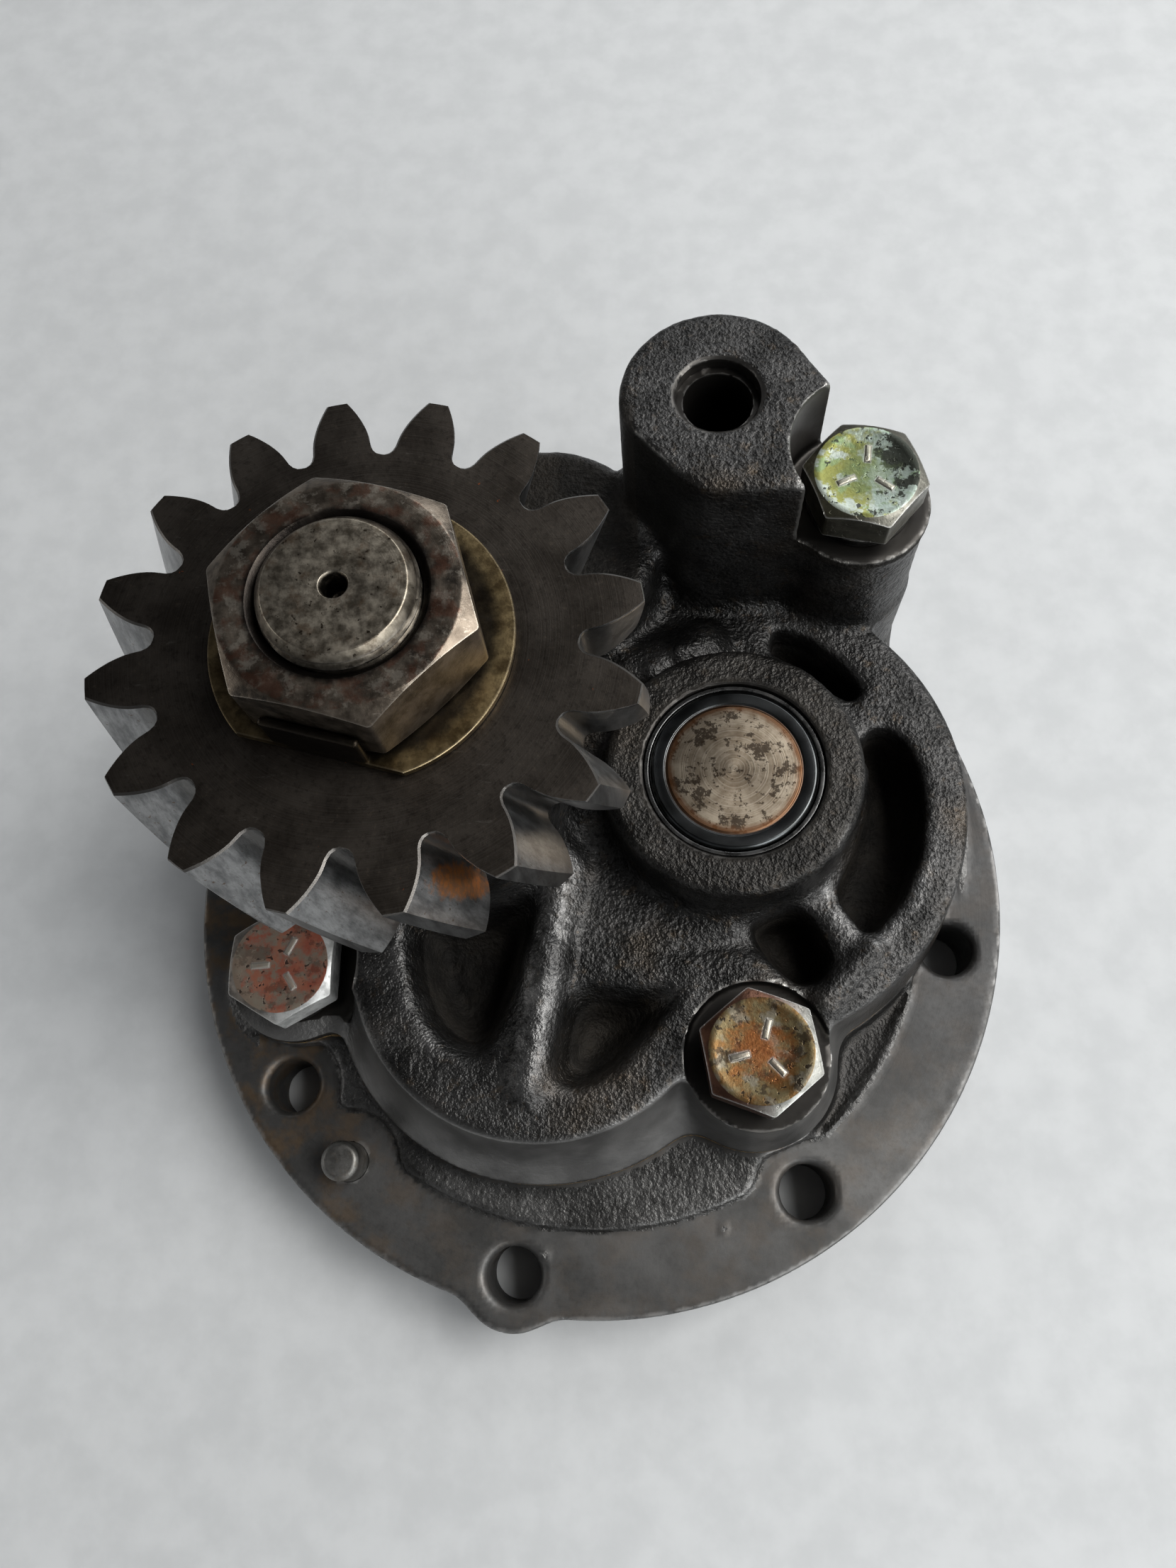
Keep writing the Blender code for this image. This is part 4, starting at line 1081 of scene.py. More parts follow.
# ---------------------------------------------------------------- materials of the castings
def cover_iron():
    dark, light = (0.023, 0.0226, 0.022), (0.072, 0.0705, 0.069)
    ground = (0.075, 0.071, 0.066)
    stain = 0.25            # strength of the brown stains
    mat = Shader("cover_cast_iron", light)
    edge = mat.attr("edge")
    machined = mat.ramp(mat.attr("mach"), off=0.35, on=0.75)
    painted_highlight, painted_shade, calm, band = (mat.attr(n) for n in ("painted_highlight", "painted_shade", "calm", "band"))
    # slow mottling, painted shade between the grains, brown stain
    mottle = mat.noise(size=9.0, detail=4, grit=0.6)
    grains = mat.noise(size=0.82, detail=2.5, grit=0.55)
    col = mat.mix(mat.ramp(mottle, off=0.3, on=0.72), dark, light)
    col = mat.tint(col, mat.ramp(grains, off=0.52, on=0.30), shade(dark, 0.22), amount=0.75)
    spots = mat.patches(size=2.6, detail=3, grit=0.7, shift=40.0, off=0.56, on=0.72)
    col = mat.tint(col, spots, (0.11, 0.075, 0.042), amount=stain)
    clouds = mat.patches(size=24.0, detail=3, grit=0.55, shift=11.0, off=0.52, on=0.7)
    col = mat.tint(col, clouds, (0.10, 0.072, 0.045), amount=stain)
    # the marked zones: milled flat, painted shade in the hollows, painted highlight on the ribs,
    # outer band
    col = mat.tint(col, calm, (0.030, 0.029, 0.027), amount=0.8)
    # painted shade in the hollows, darker in patches
    hollow_shade_rgb = mat.mix(mat.ramp(mottle, off=0.3, on=0.7), (0.013, 0.012, 0.011), (0.030, 0.026, 0.021))
    col = mat.tint(col, painted_shade, hollow_shade_rgb, amount=0.86)
    # painted highlight on the rib and walls, broken up by noise
    painted_highlight = mat.times(painted_highlight, mat.patches(size=2.2, detail=4, grit=0.65, shift=51.0,
                                         off=0.30, on=0.62))
    col = mat.tint(col, painted_highlight, (0.36, 0.355, 0.35), amount=0.75)
    smooth_iron = mat.mix(mat.patches(size=7.0, detail=3, shift=8.0, off=0.3, on=0.7),
                          (0.135, 0.133, 0.130), (0.25, 0.246, 0.24))
    col = mat.tint(col, band, smooth_iron, amount=0.9)
    # machined faces
    lines = mat.noise(size=0.5, detail=3, grit=0.6,
                      at=mat.vec(mat.times(mat.x, 0.06), mat.y, mat.z))
    face = mat.mix(mat.patches(size=5.0, detail=4, grit=0.6, shift=9.0, off=0.35, on=0.7),
                   shade(ground, 0.7), ground)
    col = mat.mix(machined, col, face)
    # painted shade on the machined faces in bores and spot faces
    col = mat.tint(col, mat.times(painted_shade, machined), (0.022, 0.020, 0.018), amount=0.8)
    # bright worn edges, broken up, and painted shade in the inner corners
    wear = mat.vary(edge, mat.noise(size=1.6, detail=3, grit=0.6, shift=3.0), by=0.55)
    wear = mat.times(mat.ramp(wear, off=0.44, on=0.86), mat.inverse(mat.times(painted_shade, 0.55)))
    col = mat.tint(col, wear, (0.40, 0.39, 0.37), amount=0.62)
    col = mat.tint(col, mat.ramp(edge, off=-0.25, on=-0.9), (0.012, 0.011, 0.010), amount=0.6)
    rough = mat.vary(mat.vary(0.40, mottle, by=0.35), grains, by=-0.35)
    rough = mat.mix_value(mat.times(painted_highlight, 0.7), rough, 0.30)
    rough = mat.mix_value(mat.times(mat.ramp(painted_shade, off=0.70, on=0.95), 0.85), rough, 0.80)
    rough = mat.mix_value(band, rough, 0.38)
    rough = mat.mix_value(machined, rough, mat.add(0.32, lines, by=0.12))
    rough = mat.mix_value(wear, rough, 0.3)
    # grains, held back on every smoother zone
    height = mat.add(mat.times(mat.noise(size=0.82, detail=2.5, grit=0.55), 1.0),
                     mat.noise(size=0.36, grit=0.6, shift=5.0), by=0.3)
    strength = mat.times(mat.inverse(machined), mat.inverse(mat.times(wear, 0.6)))
    bump_calmed = mat.times(mat.math("MAXIMUM", calm, painted_highlight), 0.7)
    strength = mat.times(strength, mat.inverse(bump_calmed))
    strength = mat.times(strength, mat.inverse(mat.times(band, 0.88)))
    normal = mat.bump(height, depth=0.368, strength=strength)
    normal = mat.bump(lines, depth=0.02, normal=normal, strength=mat.times(machined, 0.5))
    return mat.finish(col, rough, metal=0.88, normal=normal)


def flange_iron():
    mat = Shader("flange_iron_visual", (0.12, 0.12, 0.12))
    edge = mat.attr("edge")
    machined = mat.ramp(mat.attr("mach"), off=0.35, on=0.75)
    mottle = mat.noise(size=11.0, detail=5, grit=0.62)
    fine = mat.noise(size=1.1, detail=4, grit=0.7, shift=17.0)
    # as cast
    col = mat.mix(mat.ramp(mottle, off=0.3, on=0.7), (0.060, 0.059, 0.057), (0.125, 0.123, 0.120))
    grains = mat.patches(size=1.05, detail=3, grit=0.62, off=0.5, on=0.3)
    col = mat.tint(col, grains, (0.018, 0.017, 0.016), amount=0.55)
    # machined ring
    face = mat.mix(mat.patches(size=16.0, detail=5, grit=0.6, shift=2.0, off=0.32, on=0.68),
                   (0.064, 0.063, 0.061), (0.122, 0.120, 0.117))
    face = mat.tint(face, mat.ramp(fine, off=0.45, on=0.75), (0.07, 0.067, 0.062), amount=0.35)
    # brown stain, strongest on the left of the ring; painted shade on the ring right of the front
    # ear
    left = mat.ramp(mat.x, off=-20.0, on=-62.0)
    blots = mat.patches(size=7.0, detail=4, grit=0.65, shift=21.0, off=0.42, on=0.66)
    face = mat.mix(mat.times(blots, mat.add(0.14, left, by=0.55)), face, (0.16, 0.105, 0.058))
    # painted shade right of the front ear
    right = mat.times(mat.ramp(mat.x, off=34.0, on=60.0), mat.ramp(mat.y, off=-48.0, on=-26.0))
    face = mat.tint(face, right, (0.034, 0.034, 0.035), amount=0.55)
    col = mat.mix(machined, col, face)
    # worn edges, painted shade on the marked zones and in the inner corners
    painted_shade = mat.attr("painted_shade")
    wear = mat.vary(edge, mat.noise(size=2.1, detail=3, grit=0.6), by=0.5)
    wear = mat.times(mat.ramp(wear, off=0.4, on=0.85), mat.inverse(mat.times(painted_shade, 0.9)))
    # painted shade in the groove, the recess and along the cover's foot
    col = mat.tint(col, mat.attr("painted_shade"), (0.018, 0.017, 0.016), amount=0.86)
    col = mat.tint(col, wear, (0.36, 0.355, 0.345), amount=0.4)
    col = mat.tint(col, mat.ramp(edge, off=-0.25, on=-0.9), (0.02, 0.018, 0.016), amount=0.6)
    rough = mat.mix_value(machined, mat.vary(0.42, mottle, by=0.3), mat.vary(0.52, fine, by=0.3))
    height = mat.add(mat.noise(size=0.95, detail=2.5, grit=0.55),
                     mat.noise(size=0.4, grit=0.6, shift=5.0), by=0.28)
    normal = mat.bump(height, depth=0.24, strength=mat.inverse(machined))
    height = mat.add(mat.times(mat.turned(size=0.4), 0.5), fine, by=0.8)
    normal = mat.bump(height, depth=0.025, normal=normal, strength=machined)
    return mat.finish(col, rough, metal=0.86, normal=normal)


# ---------------------------------------------------------------- materials of machined pieces
def gear_steel():
    mat = Shader("gear_steel_visual", (0.08, 0.07, 0.06))
    normal_z = mat.object_normal()[2]
    r = mat.radius()
    up = mat.ramp(mat.math("ABSOLUTE", normal_z), off=0.9, on=0.97)
    # dark end faces with fine tool lines, specks, rust dots and scuffs
    mottle = mat.noise(size=8.0, detail=5, grit=0.6)
    wander = mat.add(r, mat.noise(size=30.0, detail=1), by=2.0)
    lines = mat.noise(size=0.24, detail=4, grit=0.7, at=mat.vec(wander, 0.0, 0.0))
    face = mat.mix(mat.ramp(mottle, off=0.3, on=0.7), (0.040, 0.033, 0.027), (0.074, 0.063, 0.053))
    speck = mat.noise(size=0.9, detail=4, grit=0.7, shift=61.0)
    face = mat.tint(face, mat.ramp(speck, off=0.5, on=0.68), (0.022, 0.018, 0.015), amount=0.55)
    face = mat.tint(face, mat.ramp(speck, off=0.40, on=0.30), (0.13, 0.105, 0.08), amount=0.35)
    face = mat.tint(face, mat.ramp(lines, off=0.42, on=0.62), (0.115, 0.106, 0.095), amount=0.22)
    rust = mat.patches(size=1.3, detail=3, grit=0.6, shift=77.0, off=0.735, on=0.76)
    face = mat.tint(face, rust, (0.30, 0.085, 0.03), amount=0.8)
    scuff = mat.patches(size=1.0, detail=5, grit=0.75, off=0.62, on=0.74,
                        at=mat.vec(mat.times(mat.x, 0.25), mat.y, mat.z))
    face = mat.tint(face, scuff, (0.20, 0.185, 0.165), amount=0.35)
    # ground, burnished flanks, darker towards the root
    wipe = mat.noise(size=1.5, detail=5, grit=0.68, shift=4.0,
                     at=mat.vec(mat.x, mat.y, mat.times(mat.z, 0.12)))
    wipe = mat.mix_value(0.32, wipe, mat.noise(size=4.6, detail=3, grit=0.6, shift=14.0))
    flank = mat.mix(mat.ramp(wipe, off=0.34, on=0.66), (0.12, 0.122, 0.124), (0.33, 0.332, 0.332))
    hair = mat.patches(size=0.34, detail=3, grit=0.7, shift=24.0, off=0.52, on=0.68,
                       at=mat.vec(mat.x, mat.y, mat.times(mat.z, 0.10)))
    flank = mat.tint(flank, hair, (0.115, 0.112, 0.108), amount=0.45)
    dots = mat.patches(size=0.75, detail=3, grit=0.6, shift=31.0, off=0.66, on=0.70)
    flank = mat.tint(flank, dots, (0.10, 0.06, 0.035), amount=0.8)
    flank = mat.tint(flank, mat.ramp(r, off=31.0, on=28.2), (0.07, 0.065, 0.058), amount=0.7)
    # one flank carries a brown stain round a slanting line
    stain_x, stain_y, stain_z = 11.8, -28.9, 85.5
    rise = mat.math("SUBTRACT", mat.z, stain_z)
    away = mat.vmath("LENGTH", mat.vec(
        mat.add(mat.math("SUBTRACT", mat.x, stain_x), rise, by=0.23),
        mat.add(mat.math("SUBTRACT", mat.y, stain_y), rise, by=0.22),
        mat.times(rise, 0.27)))
    away = mat.vary(away, mat.noise(size=1.6, detail=4, grit=0.65), by=3.2)
    brown = mat.mix(mat.patches(size=1.1, detail=3, grit=0.6, shift=3.0, off=0.4, on=0.6),
                    (0.74, 0.28, 0.07), (0.50, 0.23, 0.10))
    flank = mat.tint(flank, mat.ramp(away, off=2.9, on=1.7), brown, amount=0.92)
    col = mat.mix(up, flank, face)
    # chamfers and worn edges
    chamfer = mat.times(mat.ramp(mat.math("ABSOLUTE", normal_z), off=0.35, on=0.5),
                        mat.ramp(mat.math("ABSOLUTE", normal_z), off=0.9, on=0.8))
    col = mat.mix(chamfer, col, (0.115, 0.108, 0.100))
    worn = mat.times(mat.ramp(mat.edge_wear(0.2), off=0.04, on=0.14), 0.36)
    worn = mat.times(worn, mat.patches(size=1.8, detail=3, grit=0.6, shift=5.0, off=0.4, on=0.6))
    col = mat.mix(worn, col, (0.42, 0.40, 0.38))
    rough = mat.mix_value(up, mat.add(0.24, wipe, by=0.18), mat.add(0.34, mottle, by=0.14))
    grind = mat.noise(size=0.22, detail=3, grit=0.6, at=mat.vec(
        mat.times(mat.x, 1.0), mat.times(mat.y, 1.0), mat.times(mat.z, 0.12)))
    normal = mat.bump(mat.add(mat.times(lines, 0.5), speck, by=0.8), depth=0.035, strength=up)
    normal = mat.bump(grind, depth=0.02, normal=normal, strength=mat.inverse(up))
    return mat.finish(col, rough, metal=1.0, normal=normal, aniso=0.25)


def steel(name, dark, light, rough=0.3, stain=(0.12, 0.09, 0.06), amount=0.3, rings=0.0, wear=0.5,
          aniso=None, dots=0.3, bright=(0.72, 0.70, 0.67), shade_rings=(), mottle=4.5, tall=None):
    """Turned or ground metal.

    amount, dots and wear are the strengths of the stain, its dark dots and the bright edges;
    rings is the depth of the tool rings; mottle is the size of the mottling; the painted shade
    in gaps, holes and round the nut is listed as (radius where it is black, radius where it is
    clear); above z = tall it is dark.
    """
    mat = Shader(name, light)
    clouds = mat.noise(size=mottle, detail=5, grit=0.66)
    col = mat.mix(mat.ramp(clouds, off=0.32, on=0.68), dark, light)
    stained = mat.patches(size=2.4, detail=5, grit=0.65, shift=13.0, off=0.5, on=0.68)
    col = mat.tint(col, stained, stain, amount)
    specks = mat.patches(size=0.8, detail=3, grit=0.6, shift=27.0, off=0.62, on=0.7)
    col = mat.tint(col, specks, shade(stain, 0.3), amount=dots)
    worn = mat.worn_edges(width=0.5, size=1.1, by=0.06, off=0.03, on=0.12)
    col = mat.tint(col, worn, bright, amount=wear)
    # painted shade: black rings in gaps, holes and round the nut
    for black, unshaded_r in shade_rings:
        edge = mat.vary(mat.radius(), mat.noise(size=1.2, detail=3), by=1.1)
        col = mat.tint(col, mat.ramp(edge, off=unshaded_r, on=black), (0.016, 0.014, 0.012), amount=0.9)
    if tall is not None:
        high = mat.ramp(mat.z, off=tall, on=tall + 0.5)
        col = mat.tint(col, high, (0.024, 0.020, 0.016), amount=0.88)
    roughness = mat.add(mat.vary(rough, clouds, by=0.3), stained, by=0.1)
    height = mat.add(mat.times(mat.turned(), rings),
                     mat.noise(size=0.35, detail=3, grit=0.6), by=0.6)
    return mat.finish(col, roughness, metal=1.0, normal=mat.bump(height, depth=0.02), aniso=aniso)


def nut_steel():
    """Brown finish with rubbed corners and black patches."""
    mat = Shader("nut_steel_visual", (0.15, 0.12, 0.09))
    mottle = mat.noise(size=3.2, detail=5, grit=0.62)
    col = mat.mix(mat.ramp(mottle, off=0.3, on=0.7), (0.065, 0.052, 0.040), (0.19, 0.158, 0.125))
    black = mat.patches(size=4.6, detail=4, grit=0.6, shift=8.0, off=0.55, on=0.68)
    col = mat.tint(col, black, (0.028, 0.025, 0.022), amount=0.75)
    # rubbed and reddish patches on the top face
    top = mat.ramp(mat.object_normal()[2], off=0.9, on=0.97)
    rubbed = mat.patches(size=2.2, detail=4, grit=0.7, shift=15.0, off=0.5, on=0.62)
    col = mat.tint(col, mat.times(top, rubbed), (0.40, 0.36, 0.30), amount=0.55)
    red = mat.patches(size=3.0, detail=4, grit=0.6, shift=44.0, off=0.45, on=0.62)
    col = mat.tint(col, mat.times(top, red), (0.135, 0.062, 0.040), amount=0.7)
    scratches = mat.patches(size=0.55, detail=3, grit=0.7, shift=9.0, off=0.62, on=0.72,
                            at=mat.vec(mat.times(mat.x, 0.25), mat.y, mat.z))
    col = mat.tint(col, scratches, (0.36, 0.32, 0.27), amount=0.35)
    worn = mat.worn_edges(width=0.32, size=1.0, by=0.08, off=0.03, on=0.12)
    col = mat.tint(col, worn, (0.50, 0.46, 0.40), amount=0.6)
    # painted shade: black in the gap round the thread
    gap = mat.vary(mat.radius(), mat.noise(size=1.5, detail=3), by=1.4)
    col = mat.tint(col, mat.ramp(gap, off=12.0, on=11.0), (0.014, 0.012, 0.011), amount=0.92)
    height = mat.add(mat.noise(size=0.7, detail=4, grit=0.6), mat.turned(), by=0.5)
    return mat.finish(col, mat.vary(0.36, mottle, by=0.3), metal=0.95,
                      normal=mat.bump(height, depth=0.04))


def bolt_finish(name, top_z, main, second, side, black, dot=(0.03, 0.02, 0.015), rough=0.38,
                metal=0.85, lean=None, third=None, hub=None, lit=None, pale=None):
    """Blotched colour on a bolt head, rubbed bright on its edges and ticks.

    main, second and third are the top's colours; dot is the colour of pits and patches and
    black their strength; lean moves the second colour and the patches along a vector; hub
    colours the middle; lit is a painted highlight on the sides that face right; pale is (direction,
    colour).
    """
    mat = Shader(name, main)
    normal_x, normal_y, normal_z = mat.object_normal()
    top = mat.ramp(normal_z, off=0.93, on=0.98)
    blotch = mat.noise(size=2.6, detail=5, grit=0.62)

    def leaning(value, middle, by):
        along = mat.vmath("DOT_PRODUCT", mat.co, lean)
        return mat.add(value, mat.math("SUBTRACT", along, middle), by)

    mask = leaning(blotch, middle=0.0, by=0.06) if lean else blotch
    col = mat.mix(mat.ramp(mask, off=0.40, on=0.62), main, second)
    small = mat.patches(size=0.9, detail=4, grit=0.6, shift=6.0, off=0.5, on=0.7)
    col = mat.tint(col, small, shade(main, 0.55), amount=0.35)
    if third:
        areas = mat.patches(size=3.1, detail=3, grit=0.55, shift=52.0, off=0.52, on=0.64)
        col = mat.tint(col, areas, third, amount=0.75)
    if pale:
        direction, rgb = pale
        areas = mat.add(mat.noise(size=3.6, detail=4, grit=0.65, shift=90.0),
                        mat.vmath("DOT_PRODUCT", mat.co, direction), by=0.022)
        col = mat.tint(col, mat.ramp(areas, off=0.55, on=0.64), rgb, amount=0.85)
    pits = mat.patches(size=1.15, detail=2.5, shift=19.0, off=0.62, on=0.67)
    col = mat.tint(col, pits, dot, amount=0.9 * min(1.0, black * 2.4))
    areas = mat.noise(size=3.4, detail=5, grit=0.7, shift=33.0)
    if lean:
        areas = leaning(areas, middle=1.6, by=0.028)
    col = mat.tint(col, mat.ramp(areas, off=0.53, on=0.58), dot, amount=black)
    if hub:
        inner = mat.ramp(mat.add(mat.radius(), blotch, by=12.0), off=11.6, on=7.6)
        col = mat.tint(col, inner, hub, amount=0.62)
    flank = mat.mix(mat.ramp(blotch, off=0.35, on=0.65), side, shade(side, 0.45))
    # painted light: the sides that face right get lighter colours
    if lit:
        facing = mat.ramp(mat.add(normal_x, normal_y, by=-0.35), off=-0.1, on=0.35)
        lit_side_rgb = mat.mix(mat.ramp(blotch, off=0.4, on=0.62), lit, shade(lit, 0.6))
        flank = mat.mix(facing, flank, lit_side_rgb)
    col = mat.mix(top, flank, col)
    # the raised ticks have their own colour
    worn = mat.worn_edges(width=0.5, size=0.9, by=0.08, off=0.02, on=0.10)
    raised = mat.times(mat.ramp(mat.z, off=top_z - 0.27, on=top_z - 0.20),
                       mat.ramp(mat.radius(), off=6.3, on=5.8))
    col = mat.tint(col, mat.times(worn, mat.inverse(raised)), (0.62, 0.62, 0.60), amount=0.8)
    col = mat.tint(col, raised, (0.34, 0.32, 0.27), amount=0.75)
    height = mat.add(mat.noise(size=0.6, detail=4, grit=0.6), pits, by=-0.8)
    return mat.finish(col, mat.vary(rough, blotch, by=0.35), metal, mat.bump(height, depth=0.05))


def idler_steel():
    """Stained, turned end face inside a dark outer ring."""
    mat = Shader("idler_shaft_visual", (0.5, 0.44, 0.36))
    r = mat.radius()
    mottle = mat.noise(size=3.4, detail=5, grit=0.65)
    line = mat.noise(size=0.30, detail=4, grit=0.7, at=mat.vec(r, 0.0, 0.0))
    disc = mat.mix(mat.ramp(mottle, off=0.3, on=0.7), (0.165, 0.125, 0.085), (0.315, 0.265, 0.20))
    disc = mat.tint(disc, mat.ramp(line, off=0.45, on=0.62), (0.46, 0.41, 0.34), amount=0.35)
    patch = mat.times(mat.patches(size=3.2, detail=5, grit=0.72, shift=71.0, off=0.53, on=0.57),
                      mat.patches(size=0.55, detail=4, grit=0.7, off=0.34, on=0.46))
    disc = mat.tint(disc, patch, (0.040, 0.029, 0.021), amount=0.88)
    dots = mat.patches(size=0.9, detail=3, grit=0.55, shift=12.0, off=0.66, on=0.70)
    disc = mat.tint(disc, dots, (0.045, 0.030, 0.020), amount=0.8)
    rust = mat.add(r, mat.noise(size=2.5, detail=3), by=1.6)
    disc = mat.tint(disc, mat.ramp(rust, off=10.6, on=11.7), (0.12, 0.052, 0.022), amount=0.85)
    rim_color = mat.mix(mat.patches(size=5.0, detail=3, off=0.35, on=0.7),
                        (0.040, 0.042, 0.042), (0.085, 0.090, 0.092))
    outer = mat.ramp(r, off=11.25, on=11.6)
    col = mat.mix(outer, disc, rim_color)
    worn = mat.ramp(mat.edge_wear(0.22), off=0.03, on=0.12)
    col = mat.tint(col, worn, (0.55, 0.56, 0.56), amount=0.6)
    rough = mat.mix_value(outer, mat.add(0.30, mottle, by=0.15), 0.24)
    normal = mat.bump(line, depth=0.03, strength=mat.inverse(mat.times(outer, 0.8)))
    return mat.finish(col, rough, metal=1.0, normal=normal, aniso=0.45)


def paper():
    mat = Shader("gasket_visual", (0.4, 0.28, 0.1))
    fibre = mat.noise(size=0.5, detail=4, grit=0.6)
    col = mat.mix(mat.ramp(fibre, off=0.35, on=0.65), (0.045, 0.030, 0.014), (0.20, 0.125, 0.045))
    # golden patches: the gasket's own colour, also standing in for painted glints
    gold = mat.patches(size=9.0, detail=3, grit=0.6, shift=3.0, off=0.58, on=0.66)
    col = mat.tint(col, gold, (0.55, 0.38, 0.15), amount=0.8)
    return mat.finish(col, rough=0.6, metal=0.0, normal=mat.bump(fibre, depth=0.05))


COVER_MAT = cover_iron()
BODY_MAT = flange_iron()
GEAR_MAT = gear_steel()
NUT_MAT = nut_steel()
# painted shadow of the nut on the tab washer's inner part
WASHER_MAT = steel(
    "tab_washer_visual", dark=(0.095, 0.066, 0.032), light=(0.24, 0.18, 0.092), rough=0.36,
    stain=(0.038, 0.028, 0.015), amount=0.8, rings=0.5, wear=0.6, shade_rings=((16.4, 18.6),),
    bright=(0.50, 0.43, 0.30), tall=TAB_WASHER_Z + 1.3, mottle=3.0)
# painted shade on the drive shaft in its centre hole and beyond the thread
SHAFT_MAT = steel(
    "drive_shaft_visual", dark=(0.15, 0.128, 0.096), light=(0.40, 0.355, 0.285), rough=0.38,
    stain=(0.075, 0.048, 0.030), amount=0.75, rings=0.7, wear=0.25, aniso=0.15, dots=0.9,
    shade_rings=((10.2, 8.3), (1.45, 2.0)), mottle=1.9)
KEY_MAT = steel(
    "ground_steel_visual", dark=(0.33, 0.32, 0.30), light=(0.52, 0.51, 0.49), rough=0.28,
    stain=(0.14, 0.12, 0.10), rings=0.5)
PIN_MAT = steel(
    "pin_steel_visual", dark=(0.11, 0.108, 0.10), light=(0.20, 0.195, 0.185), rough=0.46,
    stain=(0.09, 0.07, 0.05), amount=0.45, rings=0.4, wear=0.35, bright=(0.35, 0.34, 0.32))
PUMP_MAT = steel(
    "pump_gear_visual", dark=(0.30, 0.29, 0.27), light=(0.50, 0.49, 0.46), rough=0.26,
    stain=(0.16, 0.11, 0.06), amount=0.35, rings=1.0)
BRONZE_MAT = steel(
    "bush_bronze_visual", dark=(0.36, 0.22, 0.09), light=(0.56, 0.38, 0.18), rough=0.30,
    stain=(0.10, 0.05, 0.02), amount=0.4, rings=0.8, bright=(0.8, 0.6, 0.35))
BUSH_MAT = steel(
    "bush_steel_visual", dark=(0.045, 0.045, 0.044), light=(0.11, 0.11, 0.108), rough=0.28,
    stain=(0.03, 0.026, 0.022), amount=0.5, rings=0.6, bright=(0.45, 0.45, 0.45))
SPRING_MAT = steel(
    "spring_steel_visual", dark=(0.035, 0.036, 0.036), light=(0.105, 0.105, 0.10), rough=0.34,
    stain=(0.07, 0.05, 0.03), wear=0.75)
PAPER_MAT = paper()
BOLT_MAT = {
    "a": bolt_finish(
        "bolt_green_visual", BOLT_Z["a"][1], main=(0.195, 0.20, 0.060), second=(0.27, 0.32, 0.28),
        side=(0.085, 0.080, 0.055), black=0.96, dot=(0.026, 0.028, 0.022), lean=(0.75, 0.1, 0.0),
        third=(0.16, 0.23, 0.12), hub=(0.15, 0.20, 0.09), lit=(0.17, 0.165, 0.14),
        pale=((-0.45, -0.75, 0.0), (0.34, 0.38, 0.35))),
    "b": bolt_finish(
        "bolt_yellow_visual", BOLT_Z["b"][1], main=(0.138, 0.074, 0.026),
        second=(0.135, 0.106, 0.054), side=(0.115, 0.055, 0.035), black=0.76,
        dot=(0.028, 0.020, 0.013), third=(0.17, 0.155, 0.12), hub=(0.30, 0.10, 0.03),
        lit=(0.30, 0.30, 0.275)),
    "c": bolt_finish(
        "bolt_red_visual", BOLT_Z["c"][1], main=(0.36, 0.11, 0.07), second=(0.24, 0.20, 0.155),
        side=(0.16, 0.14, 0.12), black=0.42, dot=(0.030, 0.020, 0.016), rough=0.42, metal=0.5,
        third=(0.40, 0.15, 0.09), lit=(0.60, 0.61, 0.60),
        pale=((-0.95, -0.1, 0.0), (0.25, 0.215, 0.165))),
    "d": bolt_finish(
        "bolt_yellow_two_visual", BOLT_Z["d"][1], main=(0.20, 0.145, 0.06),
        second=(0.25, 0.20, 0.11), side=(0.17, 0.14, 0.09), black=0.5),
}

# ---------------------------------------------------------------- castings
COVER_STEP, BODY_STEP = ((0.66, 0.8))
piece = casting("cover_casting", cover, cover_marks, (-67.213, -55.377, COVER_Z0 - 1.137),
                (67.2, 83.6, PORT_TOP + 1.3), COVER_STEP, COVER_MAT)
register(piece, "housing", "pump_cover", "cast_iron")
piece = casting("body_casting", body, body_marks, (-76.213, -79.177, -1.137),
                (76.3, 84.9, SPLIT_Z + 1.2), BODY_STEP, BODY_MAT)
register(piece, "housing", "pump_body", "flange_iron")


# ---------------------------------------------------------------- gasket
def gasket_outline():
    """Points just outside the cover's foot, seen from a point inside it."""
    start_x, start_y, step = 3.0, 8.0, 0.4
    out = []
    for angle in turn_angles(260):
        r = np.arange(5.0, 110.0, step)
        x, y = start_x + r * math.cos(angle), start_y + r * math.sin(angle)
        d = foot(x, y) - 0.05
        k = int(np.argmax(d > 0))
        radius = r[k - 1] + step * (d[k - 1] / (d[k - 1] - d[k]))
        out.append((start_x + radius * math.cos(angle), start_y + radius * math.sin(angle)))
    return out


def gasket_window():
    """Outline of chambers, suction pocket and pressure channel together."""
    out = []
    for angle in turn_angles(240):
        r = np.arange(1.0, 90.0, 0.2)
        x, y = MID_X + r * math.cos(angle), DRIVE.y + r * math.sin(angle)
        d = nearest([circle(x, y, DRIVE, CHAMBER_R + 0.5), circle(x, y, IDLER, CHAMBER_R + 0.5),
                     capsule(x, y, 0 * x, *SUCTION), capsule(x, y, 0 * x, *PRESSURE)])
        k = int(np.argmax(d > 0))
        out.append((MID_X + r[k] * math.cos(angle), DRIVE.y + r[k] * math.sin(angle)))
    return out


